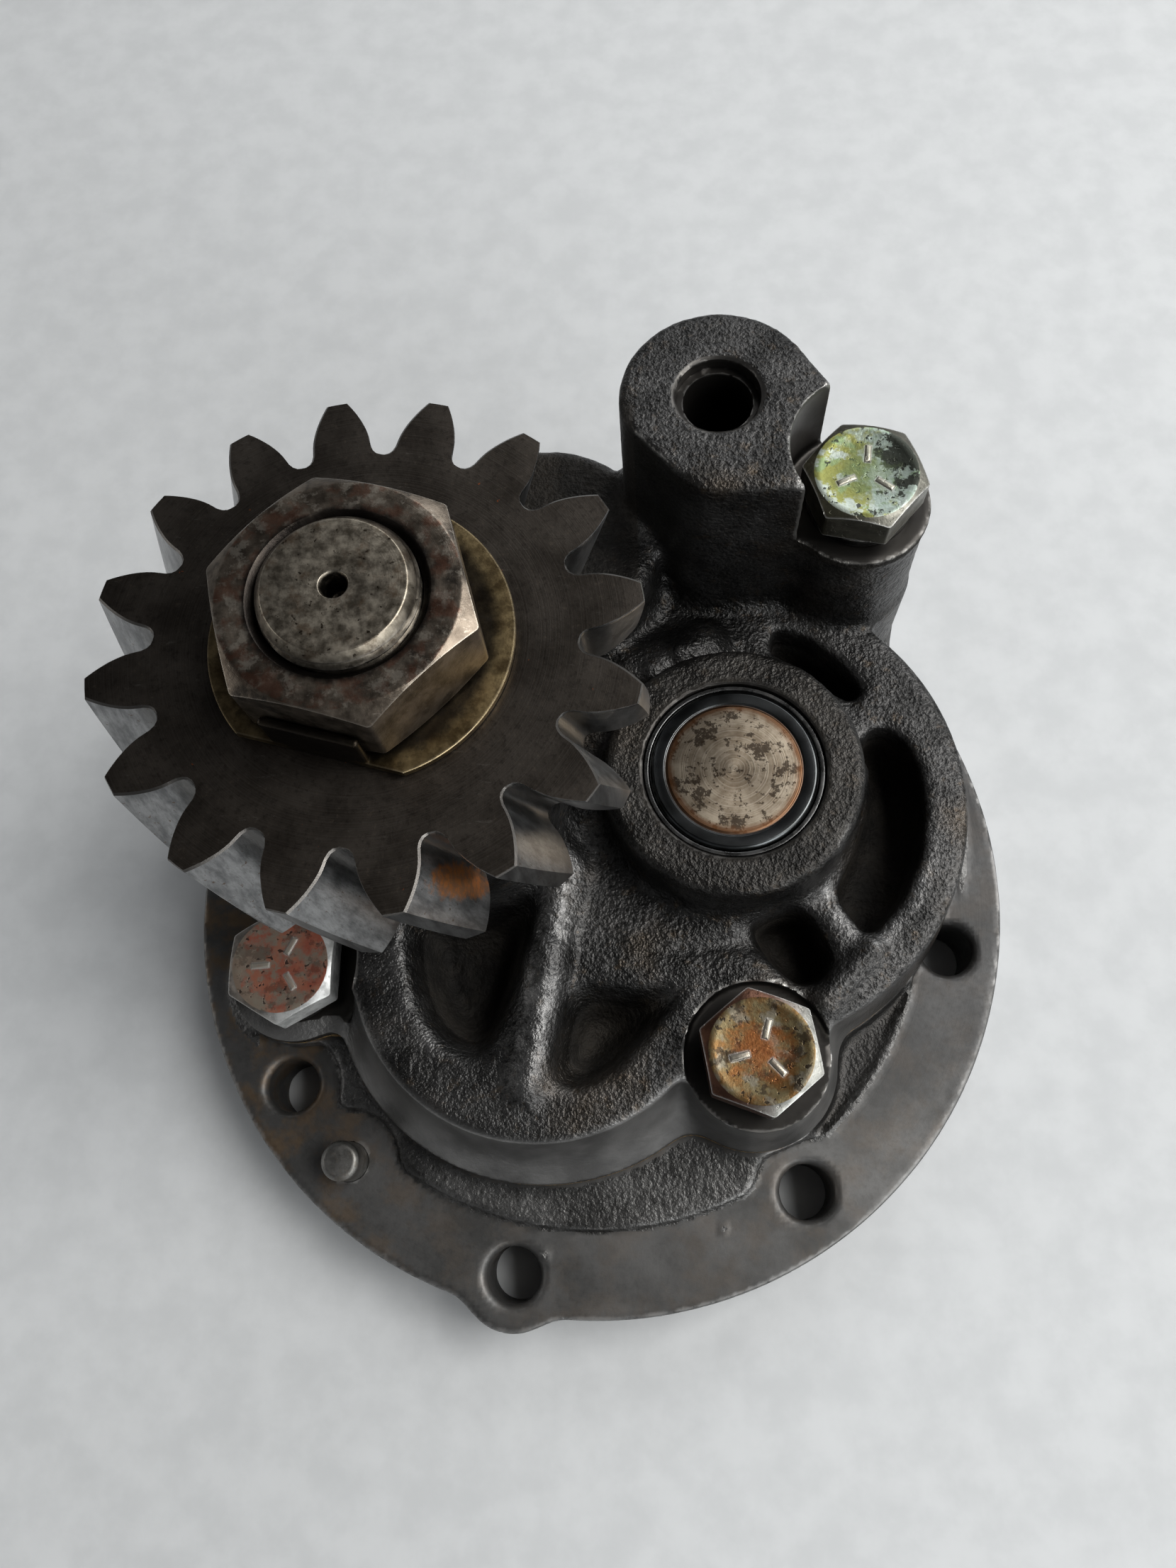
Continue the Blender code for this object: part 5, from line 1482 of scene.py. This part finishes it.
def flat_sheet(name, outlines, z0, z1, mat):
    """Closed sheet; the first outline is its edge, the others are openings."""
    curve = bpy.data.curves.new(name, "CURVE")
    curve.dimensions = "2D"
    curve.fill_mode = "BOTH"
    curve.extrude = (z1 - z0) / 2 * MM
    for outline in outlines:
        spline = curve.splines.new("POLY")
        spline.points.add(len(outline) - 1)
        for point, (x, y) in zip(spline.points, outline):
            point.co = (x * MM, y * MM, 0, 1)
        spline.use_cyclic_u = True
    filled = bpy.data.objects.new(name + "_tmp", curve)
    bpy.context.scene.collection.objects.link(filled)
    mesh = evaluated_mesh(filled)
    bpy.data.objects.remove(filled, do_unlink=True)
    bm = bmesh.new()
    bm.from_mesh(mesh)
    bmesh.ops.remove_doubles(bm, verts=bm.verts[:], dist=1e-6)
    bmesh.ops.recalc_face_normals(bm, faces=bm.faces[:])
    bm.to_mesh(mesh)
    bm.free()
    sheet = add_object(name, mesh, mat)
    sheet.location.z = (z0 + z1) / 2 * MM
    return sheet


outlines = [gasket_outline(), gasket_window()]
outlines += [ring_points(BOLT[k].x, BOLT[k].y, 5.5, 32) for k in "abcd"]
outlines += [ring_points(DOWEL[n].x, DOWEL[n].y, 3.3, 24) for n in COVER_DOWELS]
piece = flat_sheet("cover_gasket_sheet", outlines, *GASKET_Z, PAPER_MAT)
register(piece, "housing", "cover_gasket", "gasket")

# ---------------------------------------------------------------- gears
CLOCKWISE, ROOT, COUNTER, LAND = -1, 0, 1, 2       # parts of a tooth outline


def involute(t):
    return math.tan(t) - t


def tooth_outline(teeth, pitch_r, tip, root, thin, steps, pressure=20.0, fillet=0.35):
    """Outline of a whole gear, counter-clockwise, as (radius, angle, part of the tooth)."""
    pressure = math.radians(pressure)
    base_r = pitch_r * math.cos(pressure)
    pitch = 2 * math.pi / teeth
    pitch_half = pitch / 4 - thin / pitch_r

    def half(r):
        """Half the tooth's angle at a radius."""
        r = max(r, base_r)
        return pitch_half + involute(pressure) - involute(math.acos(min(1.0, base_r / r)))
    start = max(root + 0.06 * (tip - root), base_r)
    base = half(start)
    toe = base + fillet * (pitch / 2 - base)
    # fillet from the root circle into the flank, then the involute, then the land
    start = max(start, root + fillet * 2.6)
    base = half(start)
    f0, f2 = (root, toe), (start, base)
    f1 = (root + 0.04 * (start - root), base + 0.16 * (toe - base))
    flank = []
    for s in range(5):
        t = s / 4
        flank.append(tuple((1 - t) ** 2 * f0[i] + 2 * t * (1 - t) * f1[i] + t * t * f2[i]
                           for i in range(2)))
    for s in range(1, steps + 1):
        r = start + (tip - start) * s / steps
        flank.append((r, half(r)))
    tooth = [(r, -a, CLOCKWISE) for r, a in flank]
    top = flank[-1][1]
    tooth[-1] = (tip, -top, LAND)
    tooth += [(tip, -0.12 * top, LAND), (tip, 0.12 * top, LAND)]
    tooth += [(r, a, COUNTER) for r, a in reversed(flank)]
    gap = pitch / 2 - toe
    points = []
    for k in range(teeth):
        points += [(r, a + k * pitch, part) for r, a, part in tooth]
        points += [(root, k * pitch + toe + 2 * gap * s / 4, ROOT) for s in range(1, 4)]
    return points


def inset(points, amounts):
    """Closed counter-clockwise outline moved inwards; amounts[i] is for the edge after point i."""
    p = np.array(points)
    edge = np.roll(p, -1, 0) - p
    edge /= np.linalg.norm(edge, axis=1, keepdims=True)
    n1 = np.stack([-edge[:, 1], edge[:, 0]], 1)
    n0 = np.roll(n1, 1, 0)
    a1 = np.asarray(amounts, float)
    a0 = np.roll(a1, 1)
    cross = n0[:, 0] * n1[:, 1] - n0[:, 1] * n1[:, 0]
    safe = np.where(np.abs(cross) > 0.35, cross, 1.0)
    mitre = np.stack([(a0 * n1[:, 1] - a1 * n0[:, 1]) / safe,
                      (a1 * n0[:, 0] - a0 * n1[:, 0]) / safe], 1)
    mean = n0 + n1
    mean /= np.linalg.norm(mean, axis=1, keepdims=True)
    mean = mean * (0.5 * (a0 + a1))[:, None]
    return p + np.where((np.abs(cross) > 0.35)[:, None], mitre, mean)


def gear_solid(name, outline, z_range, turns, bore, chamfers, levels, mat, at, face_rings, keyway):
    """Toothed wheel with chamfered tooth ends and a keyway on the +X side of its bore.

    turns are the angles at the bottom and the top; chamfers are for the clockwise flank, the
    land and root, and the other flank; keyway is (reach along x, half width).
    """
    (z0, z1), (turn0, turn1) = z_range, turns
    chamfer_of = {CLOCKWISE: chamfers[0], ROOT: chamfers[1], COUNTER: chamfers[2],
                  LAND: chamfers[1]}
    amounts = np.array([chamfer_of[part] for _, _, part in outline])
    blur = amounts.copy()
    # even out the chamfer widths round the roots
    inner_part = [part != LAND and r < 30.0 for r, _, part in outline]
    for _ in range(3):
        near = 0.25 * np.roll(blur, 1) + 0.5 * blur + 0.25 * np.roll(blur, -1)
        blur = np.where(inner_part, near, amounts)
    amounts = blur
    depth = max(chamfers)

    def teeth_ring(z, chamfered=False):
        t = (z - z0) / (z1 - z0)
        turn = turn0 + (turn1 - turn0) * t
        points = [(r * math.cos(a + turn), r * math.sin(a + turn)) for r, a, _ in outline]
        if chamfered:
            points = inset(points, amounts)
        return [(x, y, z) for x, y in points]

    middle = [a + 0.5 * (turn0 + turn1) for _, a, _ in outline]
    key_x, key_half = keyway

    def bore_ring(r, z):
        """Ring of the bore with its keyway, or a plain ring where r is past the keyway."""
        out = []
        for a in middle:
            reach = r
            if r < key_x and math.cos(a) > 0 and abs(math.sin(a)) * r < key_half:
                reach = max(r, min(key_x / math.cos(a), key_half / max(abs(math.sin(a)), 1e-6)))
            out.append((reach * math.cos(a), reach * math.sin(a), z))
        return out

    def face_ring(r, z, turn):
        return ring(r, z, [a + turn for _, a, _ in outline])

    rings = [bore_ring(bore + 0.6, z1), bore_ring(face_rings[0], z1)]
    rings += [face_ring(r, z1, turn1) for r in face_rings[1:]]
    rings.append(teeth_ring(z1, chamfered=True))
    rings += [teeth_ring((z1 - depth) + (z0 + depth - z1 + depth) * i / levels)
              for i in range(levels + 1)]
    rings.append(teeth_ring(z0, chamfered=True))
    rings += [face_ring(r, z0, turn0) for r in reversed(face_rings[1:])]
    rings += [bore_ring(face_rings[0], z0), bore_ring(bore + 0.6, z0),
              bore_ring(bore, z0 + 0.6), bore_ring(bore, z1 - 0.6)]
    return ring_solid(name, rings, mat, at, 28.0)


WHEEL_TURN, WHEEL_TWIST = math.radians(98.97), 0.1911
wheel = tooth_outline(teeth=16, pitch_r=32.3, tip=36.3, root=27.7, thin=-0.28,
                      steps=12, pressure=24.0, fillet=0.85)
piece = gear_solid("helical_gear_wheel", wheel, GEAR_Z, (WHEEL_TURN + WHEEL_TWIST, WHEEL_TURN),
                   bore=10.55, chamfers=(0.1, 0.15, 0.24), levels=22,
                   mat=GEAR_MAT, at=DRIVE, face_rings=(17.0, 22.0, 25.6), keyway=(13.4, 3.05))
register(piece, "drive_train", "helical_drive_gear", "gear_steel")

SPUR_TEETH, SPUR_R = 14, 25.0
spur = tooth_outline(SPUR_TEETH, SPUR_R, tip=SPUR_R + 0.95 * 50 / SPUR_TEETH,
                     root=SPUR_R - 1.2 * 50 / SPUR_TEETH, thin=0.09, steps=8)
for name, node, axis, turn, train in (
        ("pump_gear_driving", "pump_drive_gear", DRIVE, 0.0, "drive_train"),
        ("pump_gear_driven", "pump_idler_gear", IDLER, math.pi + math.pi / SPUR_TEETH,
         "idler_train")):
    piece = gear_solid(name, spur, PUMP_GEAR_Z, (turn, turn), bore=12.12,
                       chamfers=(0.25, 0.25, 0.25), levels=2, mat=PUMP_MAT, at=axis,
                       face_rings=(17.0, 19.0), keyway=(14.9, 3.05))
    register(piece, train, node, "steel")


# ---------------------------------------------------------------- shafts and keys
def threaded_shaft():
    segments = 120
    angles = turn_angles(segments)
    # the profile closes on itself, so the last corner's rounding towards the start is dropped
    lower = rounded([(0, 4.9), (11.0, 4.9), (JOURNAL_R, 5.9), (JOURNAL_R, 74.0), (14.9, 74.0),
                     (14.9, 76.1, 0.2), (10.5, 76.1, 0.3), (10.5, 97.2), (9.3, 97.9),
                     (9.3, 98.6)], 0.2)[:-2]
    rings = profile_rings(lower, angles)
    thread_r, depth, pitch, z = 9.98, 0.85, 1.5, 98.4
    end = SHAFT_TOP
    steps = 10
    while z < end - 0.9:
        points = []
        for i, angle in enumerate(angles):
            wave = abs(2 * ((z / pitch - i / segments) % 1.0) - 1)
            groove = depth * max(0.0, min(1.0, (wave - 0.12) / 0.76))
            fade = min(1.0, max(0.0, (end - 0.9 - z) / 0.8))
            r = thread_r - groove * (0.35 + 0.65 * fade)
            r = min(r, thread_r - max(0.0, z - (end - 1.6)) * 0.8)
            points.append((r * math.cos(angle), r * math.sin(angle), z))
        rings.append(points)
        z += pitch / steps
    # end face with a centre hole
    upper = rounded([(9.25, end - 0.75, 0), (8.75, end, 0.18), (1.85, end, 0.08),
                     (1.6, end - 0.35), (1.45, end - 4.2), (0, end - 5.0)], 0.2)[1:]
    rings += profile_rings(upper, angles)
    return ring_solid("drive_shaft_turned", rings, SHAFT_MAT, DRIVE, 30, closed=False)


def cut_keyways(shaft, at, slots):
    """Cut slots of (x0, x1, z0, z1)."""
    for x0, x1, z0, z1 in slots:
        tool = key_block("key_tool", x0, x1, 3.03, z0, z1, SHAFT_MAT, at)
        apply_boolean(shaft, tool, "DIFFERENCE")
    smooth(shaft.data, 30)


piece = threaded_shaft()
cut_keyways(piece, DRIVE, ((8.9, 20.0, 3.0, 15.2), (7.6, 20.0, 77.4, 95.2)))
register(piece, "drive_train", "drive_shaft", "shaft_steel")

# a shallow groove runs round the idler's end face
IDLER_PROFILE = [(0, 4.9), (11.0, 4.9), (12.0, 5.9), (12.0, 15.5), (IDLER_R, 16.5),
                 (IDLER_R, IDLER_TOP - 0.55, 0.15), (13.55, IDLER_TOP, 0.2),
                 (11.75, IDLER_TOP, 0.1), (11.6, IDLER_TOP - 0.22, 0.08),
                 (11.32, IDLER_TOP - 0.22, 0.08), (11.1, IDLER_TOP, 0.12), (0, IDLER_TOP)]
piece = lathe("idler_shaft_turned", IDLER_PROFILE, 144, idler_steel(), IDLER, 0.2)
cut_keyways(piece, IDLER, ((8.9, 20.0, 3.0, 15.3),))
register(piece, "idler_train", "idler_shaft", "shaft_steel")

for node, axis, x0, x1, z0, z1, train in (
        ("pump_gear_key", DRIVE, 9.0, 14.8, 5.1, 15.1, "drive_train"),
        ("gear_key", DRIVE, 7.7, 13.3, 77.6, 95.0, "drive_train"),
        ("idler_gear_key", IDLER, 9.0, 14.8, 5.1, 15.1, "idler_train")):
    piece = bevel(key_block(node + "_piece", x0, x1, 3.0, z0, z1, KEY_MAT, axis), 0.35)
    register(piece, train, node, "steel")

# ---------------------------------------------------------------- bushes and the thrust washer
for shaft, axis, inner, outer, mat, slot in (
        ("drive", DRIVE, JOURNAL_R + 0.08, 15.0, BRONZE_MAT, "bronze"),
        ("idler", IDLER, IDLER_R + 0.08, IDLER_BUSH_R, BUSH_MAT, "bush_steel")):
    for node in (shaft + "_bush_lower", shaft + "_bush_upper"):
        z0, z1 = z_span(node)
        profile = [(inner + 0.15, z0), (outer - 0.25, z0), (outer, z0 + 0.4), (outer, z1 - 0.3),
                   (outer - 0.2, z1), (inner + 0.2, z1), (inner, z1 - 0.3), (inner, z0 + 0.3)]
        piece = lathe(node + "_turned", profile, 120, mat, axis, 0.08)
        register(piece, "housing", node, slot)
z0, z1 = z_span("thrust_washer")
piece = lathe("thrust_washer_turned", [(12.3, z0), (18.0, z0), (18.0, z1), (12.3, z1)], 96,
              BRONZE_MAT, DRIVE, 0.25)
register(piece, "drive_train", "thrust_washer", "bronze")

# ---------------------------------------------------------------- nut and tab washer
NUT_ANGLE = 44.8                                    # degrees
HEX_SLOPE = math.tan(math.radians(30))              # chamfer of hexagon corners


def crown_nut():
    z0, z1 = NUT_Z
    outline = hex_outline(30.0, NUT_ANGLE, corner=0.45, side=10, arc=4)
    angles = [a for _, a in outline]
    chamfer_r, bore = 14.8, 10.12

    def hex_ring(z, way, drop):
        return [(r * math.cos(a), r * math.sin(a),
                 z - way * (max(0.0, r - chamfer_r) * HEX_SLOPE + drop)) for r, a in outline]

    # (radius, z) from the bore out over the top face
    top = [(bore, z0 + 0.9), (bore, z1 - 1.0), (bore + 0.12, z1 - 0.85),
           (bore + 0.85, z1 - 0.10), (bore + 1.05, z1), (chamfer_r - 1.2, z1),
           (chamfer_r - 0.12, z1), (chamfer_r + 0.10, z1 - 0.05)]
    rings = [ring(r, z, angles) for r, z in top]
    rings += [hex_ring(z1, 1, 0.06), hex_ring(z1, 1, 0.32), hex_ring(z0, -1, 0.32),
              hex_ring(z0, -1, 0.06), ring(chamfer_r, z0, angles), ring(bore + 0.9, z0, angles)]
    return ring_solid("shaft_nut_hex", rings, NUT_MAT, DRIVE, 22)


def tab_washer():
    """Disc with one straight side and a tab bent up there, against a flat of the nut."""
    z0, z1 = TAB_WASHER_Z, TAB_WASHER_Z + 1.2
    washer = lathe("tab_washer_disc", [(10.15, z0), (19.75, z0), (19.75, z1), (10.15, z1)],
                   128, WASHER_MAT, DRIVE, 0.3)
    angle = math.radians(NUT_ANGLE - 150.0)
    out = Vector((math.cos(angle), math.sin(angle)))
    across = Vector((-math.sin(angle), math.cos(angle)))

    def block(name, near, far, half, low, high):
        corners = [out * r + across * s
                   for r, s in ((near, -half), (far, -half), (far, half), (near, half))]
        return prism(name, corners, low, high, WASHER_MAT, DRIVE)

    apply_boolean(washer, block("washer_side", 16.35, 30, 30, 90, 110), "DIFFERENCE")
    tab = bevel(block("washer_tab", 15.15, 16.34, 6.4, z0 + 0.2, 104.6), 0.5)
    apply_boolean(washer, tab, "UNION")
    smooth(washer.data, 30)
    return washer


register(crown_nut(), "drive_train", "shaft_nut", "nut_steel")
register(tab_washer(), "drive_train", "tab_washer", "yellow_washer")

# ---------------------------------------------------------------- cover bolts and spring washers
BOLT_TURN = {"a": 47.7, "b": 39.4, "c": 29.0, "d": 12.0}        # degrees
BOLT_SLOT = {"a": "bolt_green", "b": "bolt_yellow", "c": "bolt_red", "d": "bolt_yellow"}
# Layers of a raised tick: height over the head's top, half width, shortening of each end
TICK_LAYERS = ((-0.6, 0.55, 0.0), (-0.27, 0.52, 0.03), (-0.12, 0.43, 0.12), (-0.02, 0.24, 0.30),
               (0.02, 0.08, 0.46))


def tick(k, angle):
    out = Vector((math.cos(angle), math.sin(angle)))
    across = Vector((-math.sin(angle), math.cos(angle)))
    vertices = []
    for height, half, end in TICK_LAYERS:
        for r, s in ((1.9 + end, -half), (5.2 - end, -half), (5.2 - end, half), (1.9 + end, half)):
            vertices.append((*(out * r + across * s), BOLT_Z[k][1] + height))
    mesh = plain_mesh("tick", vertices, stack_faces(len(TICK_LAYERS)))
    return add_object("tick", mesh, BOLT_MAT[k], BOLT[k])


def hex_bolt(k):
    bottom, top = BOLT_Z[k]
    under = SEAT[k] + 2.3                       # underside of the head
    outline = hex_outline(18.0, BOLT_TURN[k], corner=0.4, side=6, arc=3)
    angles = [a for _, a in outline]
    chamfer_r, shank_r, thread_root_r, thread_r = 8.45, 4.85, 4.3, 4.82

    def head_ring(drop):
        return [(r * math.cos(a), r * math.sin(a),
                 top - max(0.0, r - chamfer_r) * HEX_SLOPE - drop) for r, a in outline]

    # dished top of the head
    profile = [(0, top - 0.30), (2.5, top - 0.30), (6.5, top - 0.28), (7.3, top - 0.06),
               (7.7, top), (chamfer_r - 0.1, top), (chamfer_r + 0.08, top - 0.05)]
    rings = profile_rings(profile, angles)
    rings += [head_ring(0.03), head_ring(0.28)]
    rings.append([(r * math.cos(a), r * math.sin(a), under + 0.18) for r, a in outline])
    thread = min(22.0, (under - bottom) * 0.6)
    profile = [(8.15, under + 0.02), (8.1, under), (5.1, under), (shank_r, under - 0.35),
               (shank_r, bottom + thread + 0.4)]
    z = bottom + thread
    pitch = 1.25
    while z > bottom + 1.2:
        profile += [(thread_root_r, z - pitch * 0.5), (thread_r, z - pitch * 0.9),
                    (thread_r, z - pitch)]
        z -= pitch
    profile += [(3.9, bottom + 0.02), (3.7, bottom), (0, bottom)]
    rings += profile_rings(profile, angles)
    bolt = ring_solid("cover_bolt_%s_hex" % k, rings, BOLT_MAT[k], BOLT[k], 24, closed=False)
    first = math.radians(BOLT_TURN[k] + 34)
    for i in range(3):
        apply_boolean(bolt, tick(k, first + 2 * math.pi * i / 3), "UNION")
    smooth(bolt.data, 24)
    return bolt


def split_washer(k):
    inner, outer, gap, lift, steps = 5.3, 8.9, 0.09, 0.25, 96       # gap in radians
    z0, z1 = SEAT[k] + 0.05, SEAT[k] + 1.95
    profile = rounded([(inner, z0), (outer, z0), (outer, z1), (inner, z1)], 0.35)
    rings = []
    for i in range(steps + 1):
        a = math.radians(BOLT_TURN[k] + 100) + gap + (2 * math.pi - 2 * gap) * i / steps
        rise = lift * i / steps
        rings.append([(r * math.cos(a), r * math.sin(a), z + rise) for r, z in profile])

    def middle(points):
        return [tuple(sum(p[j] for p in points) / len(points) for j in range(3))]
    rings = [middle(rings[0])] + rings + [middle(rings[-1])]
    return ring_solid("spring_washer_%s_split" % k, rings, SPRING_MAT, BOLT[k], 30, closed=False)


for k in "abcd":
    register(hex_bolt(k), "housing", "cover_bolt_" + k, BOLT_SLOT[k])
    register(split_washer(k), "housing", "spring_washer_" + k, "spring_steel")

# ---------------------------------------------------------------- dowel pins
for node, r in DOWEL_R.items():
    z0, z1 = z_span(node)
    profile = [(0, z0), (r - 0.5, z0), (r, z0 + 0.7), (r, z1 - 0.8, 0.3), (r - 0.7, z1 - 0.06, 0.4),
               (0, z1)]
    piece = lathe(node + "_turned", profile, 64, PIN_MAT, DOWEL[node], 0.15)
    register(piece, "housing", node, "steel")


# ---------------------------------------------------------------- studio, in metres
def studio_floor():
    mat = Shader("studio_floor", (0.8, 0.8, 0.8))
    mottle = mat.noise(size=9.0, detail=4, grit=0.6)
    col = mat.mix(mat.ramp(mottle, off=0.3, on=0.7), (0.47, 0.48, 0.485), (0.52, 0.53, 0.535))
    mat.finish(col, rough=0.75, metal=0.0, normal=mat.bump(mottle, depth=0.05), specular=0.25)
    mesh = bpy.data.meshes.new("studio_floor")
    half = 2.5
    corners = [(-half, -half, 0), (half, -half, 0), (half, half, 0), (-half, half, 0)]
    mesh.from_pydata(corners, [], [(0, 1, 2, 3)])
    floor = add_object("studio_floor", mesh, mat.material)
    floor.location.z = CAD_LO.z - 0.0004
    floor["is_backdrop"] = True


def studio_world():
    """Vertical gradient, bright below and dark above."""
    world = bpy.data.worlds.new("studio")
    bpy.context.scene.world = world
    world.use_nodes = True
    tree = world.node_tree
    background = tree.nodes["Background"]
    coordinates = tree.nodes.new("ShaderNodeTexCoord")
    separate = tree.nodes.new("ShaderNodeSeparateXYZ")
    gradient = tree.nodes.new("ShaderNodeValToRGB")
    tree.links.new(coordinates.outputs["Generated"], separate.inputs[0])
    tree.links.new(separate.outputs[2], gradient.inputs[0])
    tree.links.new(gradient.outputs[0], background.inputs[0])
    background.inputs["Strength"].default_value = 0.47
    stops = gradient.color_ramp.elements
    stops[0].position = 0.0
    stops[0].color = (0.62, 0.63, 0.64, 1)
    stops[1].position = 0.92
    stops[1].color = (0.045, 0.045, 0.05, 1)
    stops.new(0.30).color = (0.52, 0.54, 0.56, 1)
    stops.new(0.62).color = (0.16, 0.165, 0.175, 1)


def area(name, azimuth, elevation, distance, size, power, rgb):
    """Soft light aimed at the pump; azimuth 0 is from +X and 90 is from +Y."""
    light = bpy.data.lights.new(name, "AREA")
    light.shape = "RECTANGLE"
    light.size, light.size_y = size
    light.energy = power
    light.color = rgb
    obj = bpy.data.objects.new(name, light)
    bpy.context.scene.collection.objects.link(obj)
    a, b = math.radians(azimuth), math.radians(elevation)
    direction = Vector((math.cos(a) * math.cos(b), math.sin(a) * math.cos(b), math.sin(b)))
    obj.location = direction * distance + Vector((0, 0, 0.04))
    obj.rotation_euler = (-direction).to_track_quat("-Z", "Y").to_euler()


def studio_camera():
    """Camera over the front of the pump, looking down."""
    data = bpy.data.cameras.new("camera")
    data.lens = 27.67
    data.sensor_width = 36.0
    data.sensor_fit = "AUTO"
    data.clip_start = 0.01
    data.clip_end = 20.0
    camera = bpy.data.objects.new("camera", data)
    bpy.context.scene.collection.objects.link(camera)
    camera.location = (0.012023, -0.05496, 0.234923)
    camera.rotation_mode = "XYZ"
    camera.rotation_euler = (0.3289, 0.0605, -0.0041)
    bpy.context.scene.camera = camera


studio_floor()
studio_world()
area("key_right", azimuth=6, elevation=50, distance=1.15, size=(0.8, 0.7), power=16,
     rgb=(1.0, 0.995, 0.98))
area("front_right", azimuth=-48, elevation=26, distance=1.3, size=(0.9, 0.45), power=8,
     rgb=(0.97, 0.99, 1.0))
area("back_right", azimuth=66, elevation=34, distance=1.6, size=(1.2, 0.6), power=9,
     rgb=(0.96, 0.98, 1.0))
area("left_fill", azimuth=178, elevation=20, distance=1.8, size=(0.9, 0.5), power=2.5,
     rgb=(1.0, 0.98, 0.95))
studio_camera()
bpy.context.scene.view_settings.view_transform = "Standard"
bpy.context.scene.view_settings.look = "None"

lo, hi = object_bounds()
{"cad": [list(CAD_LO), list(CAD_HI)], "visual": [list(lo), list(hi)]}
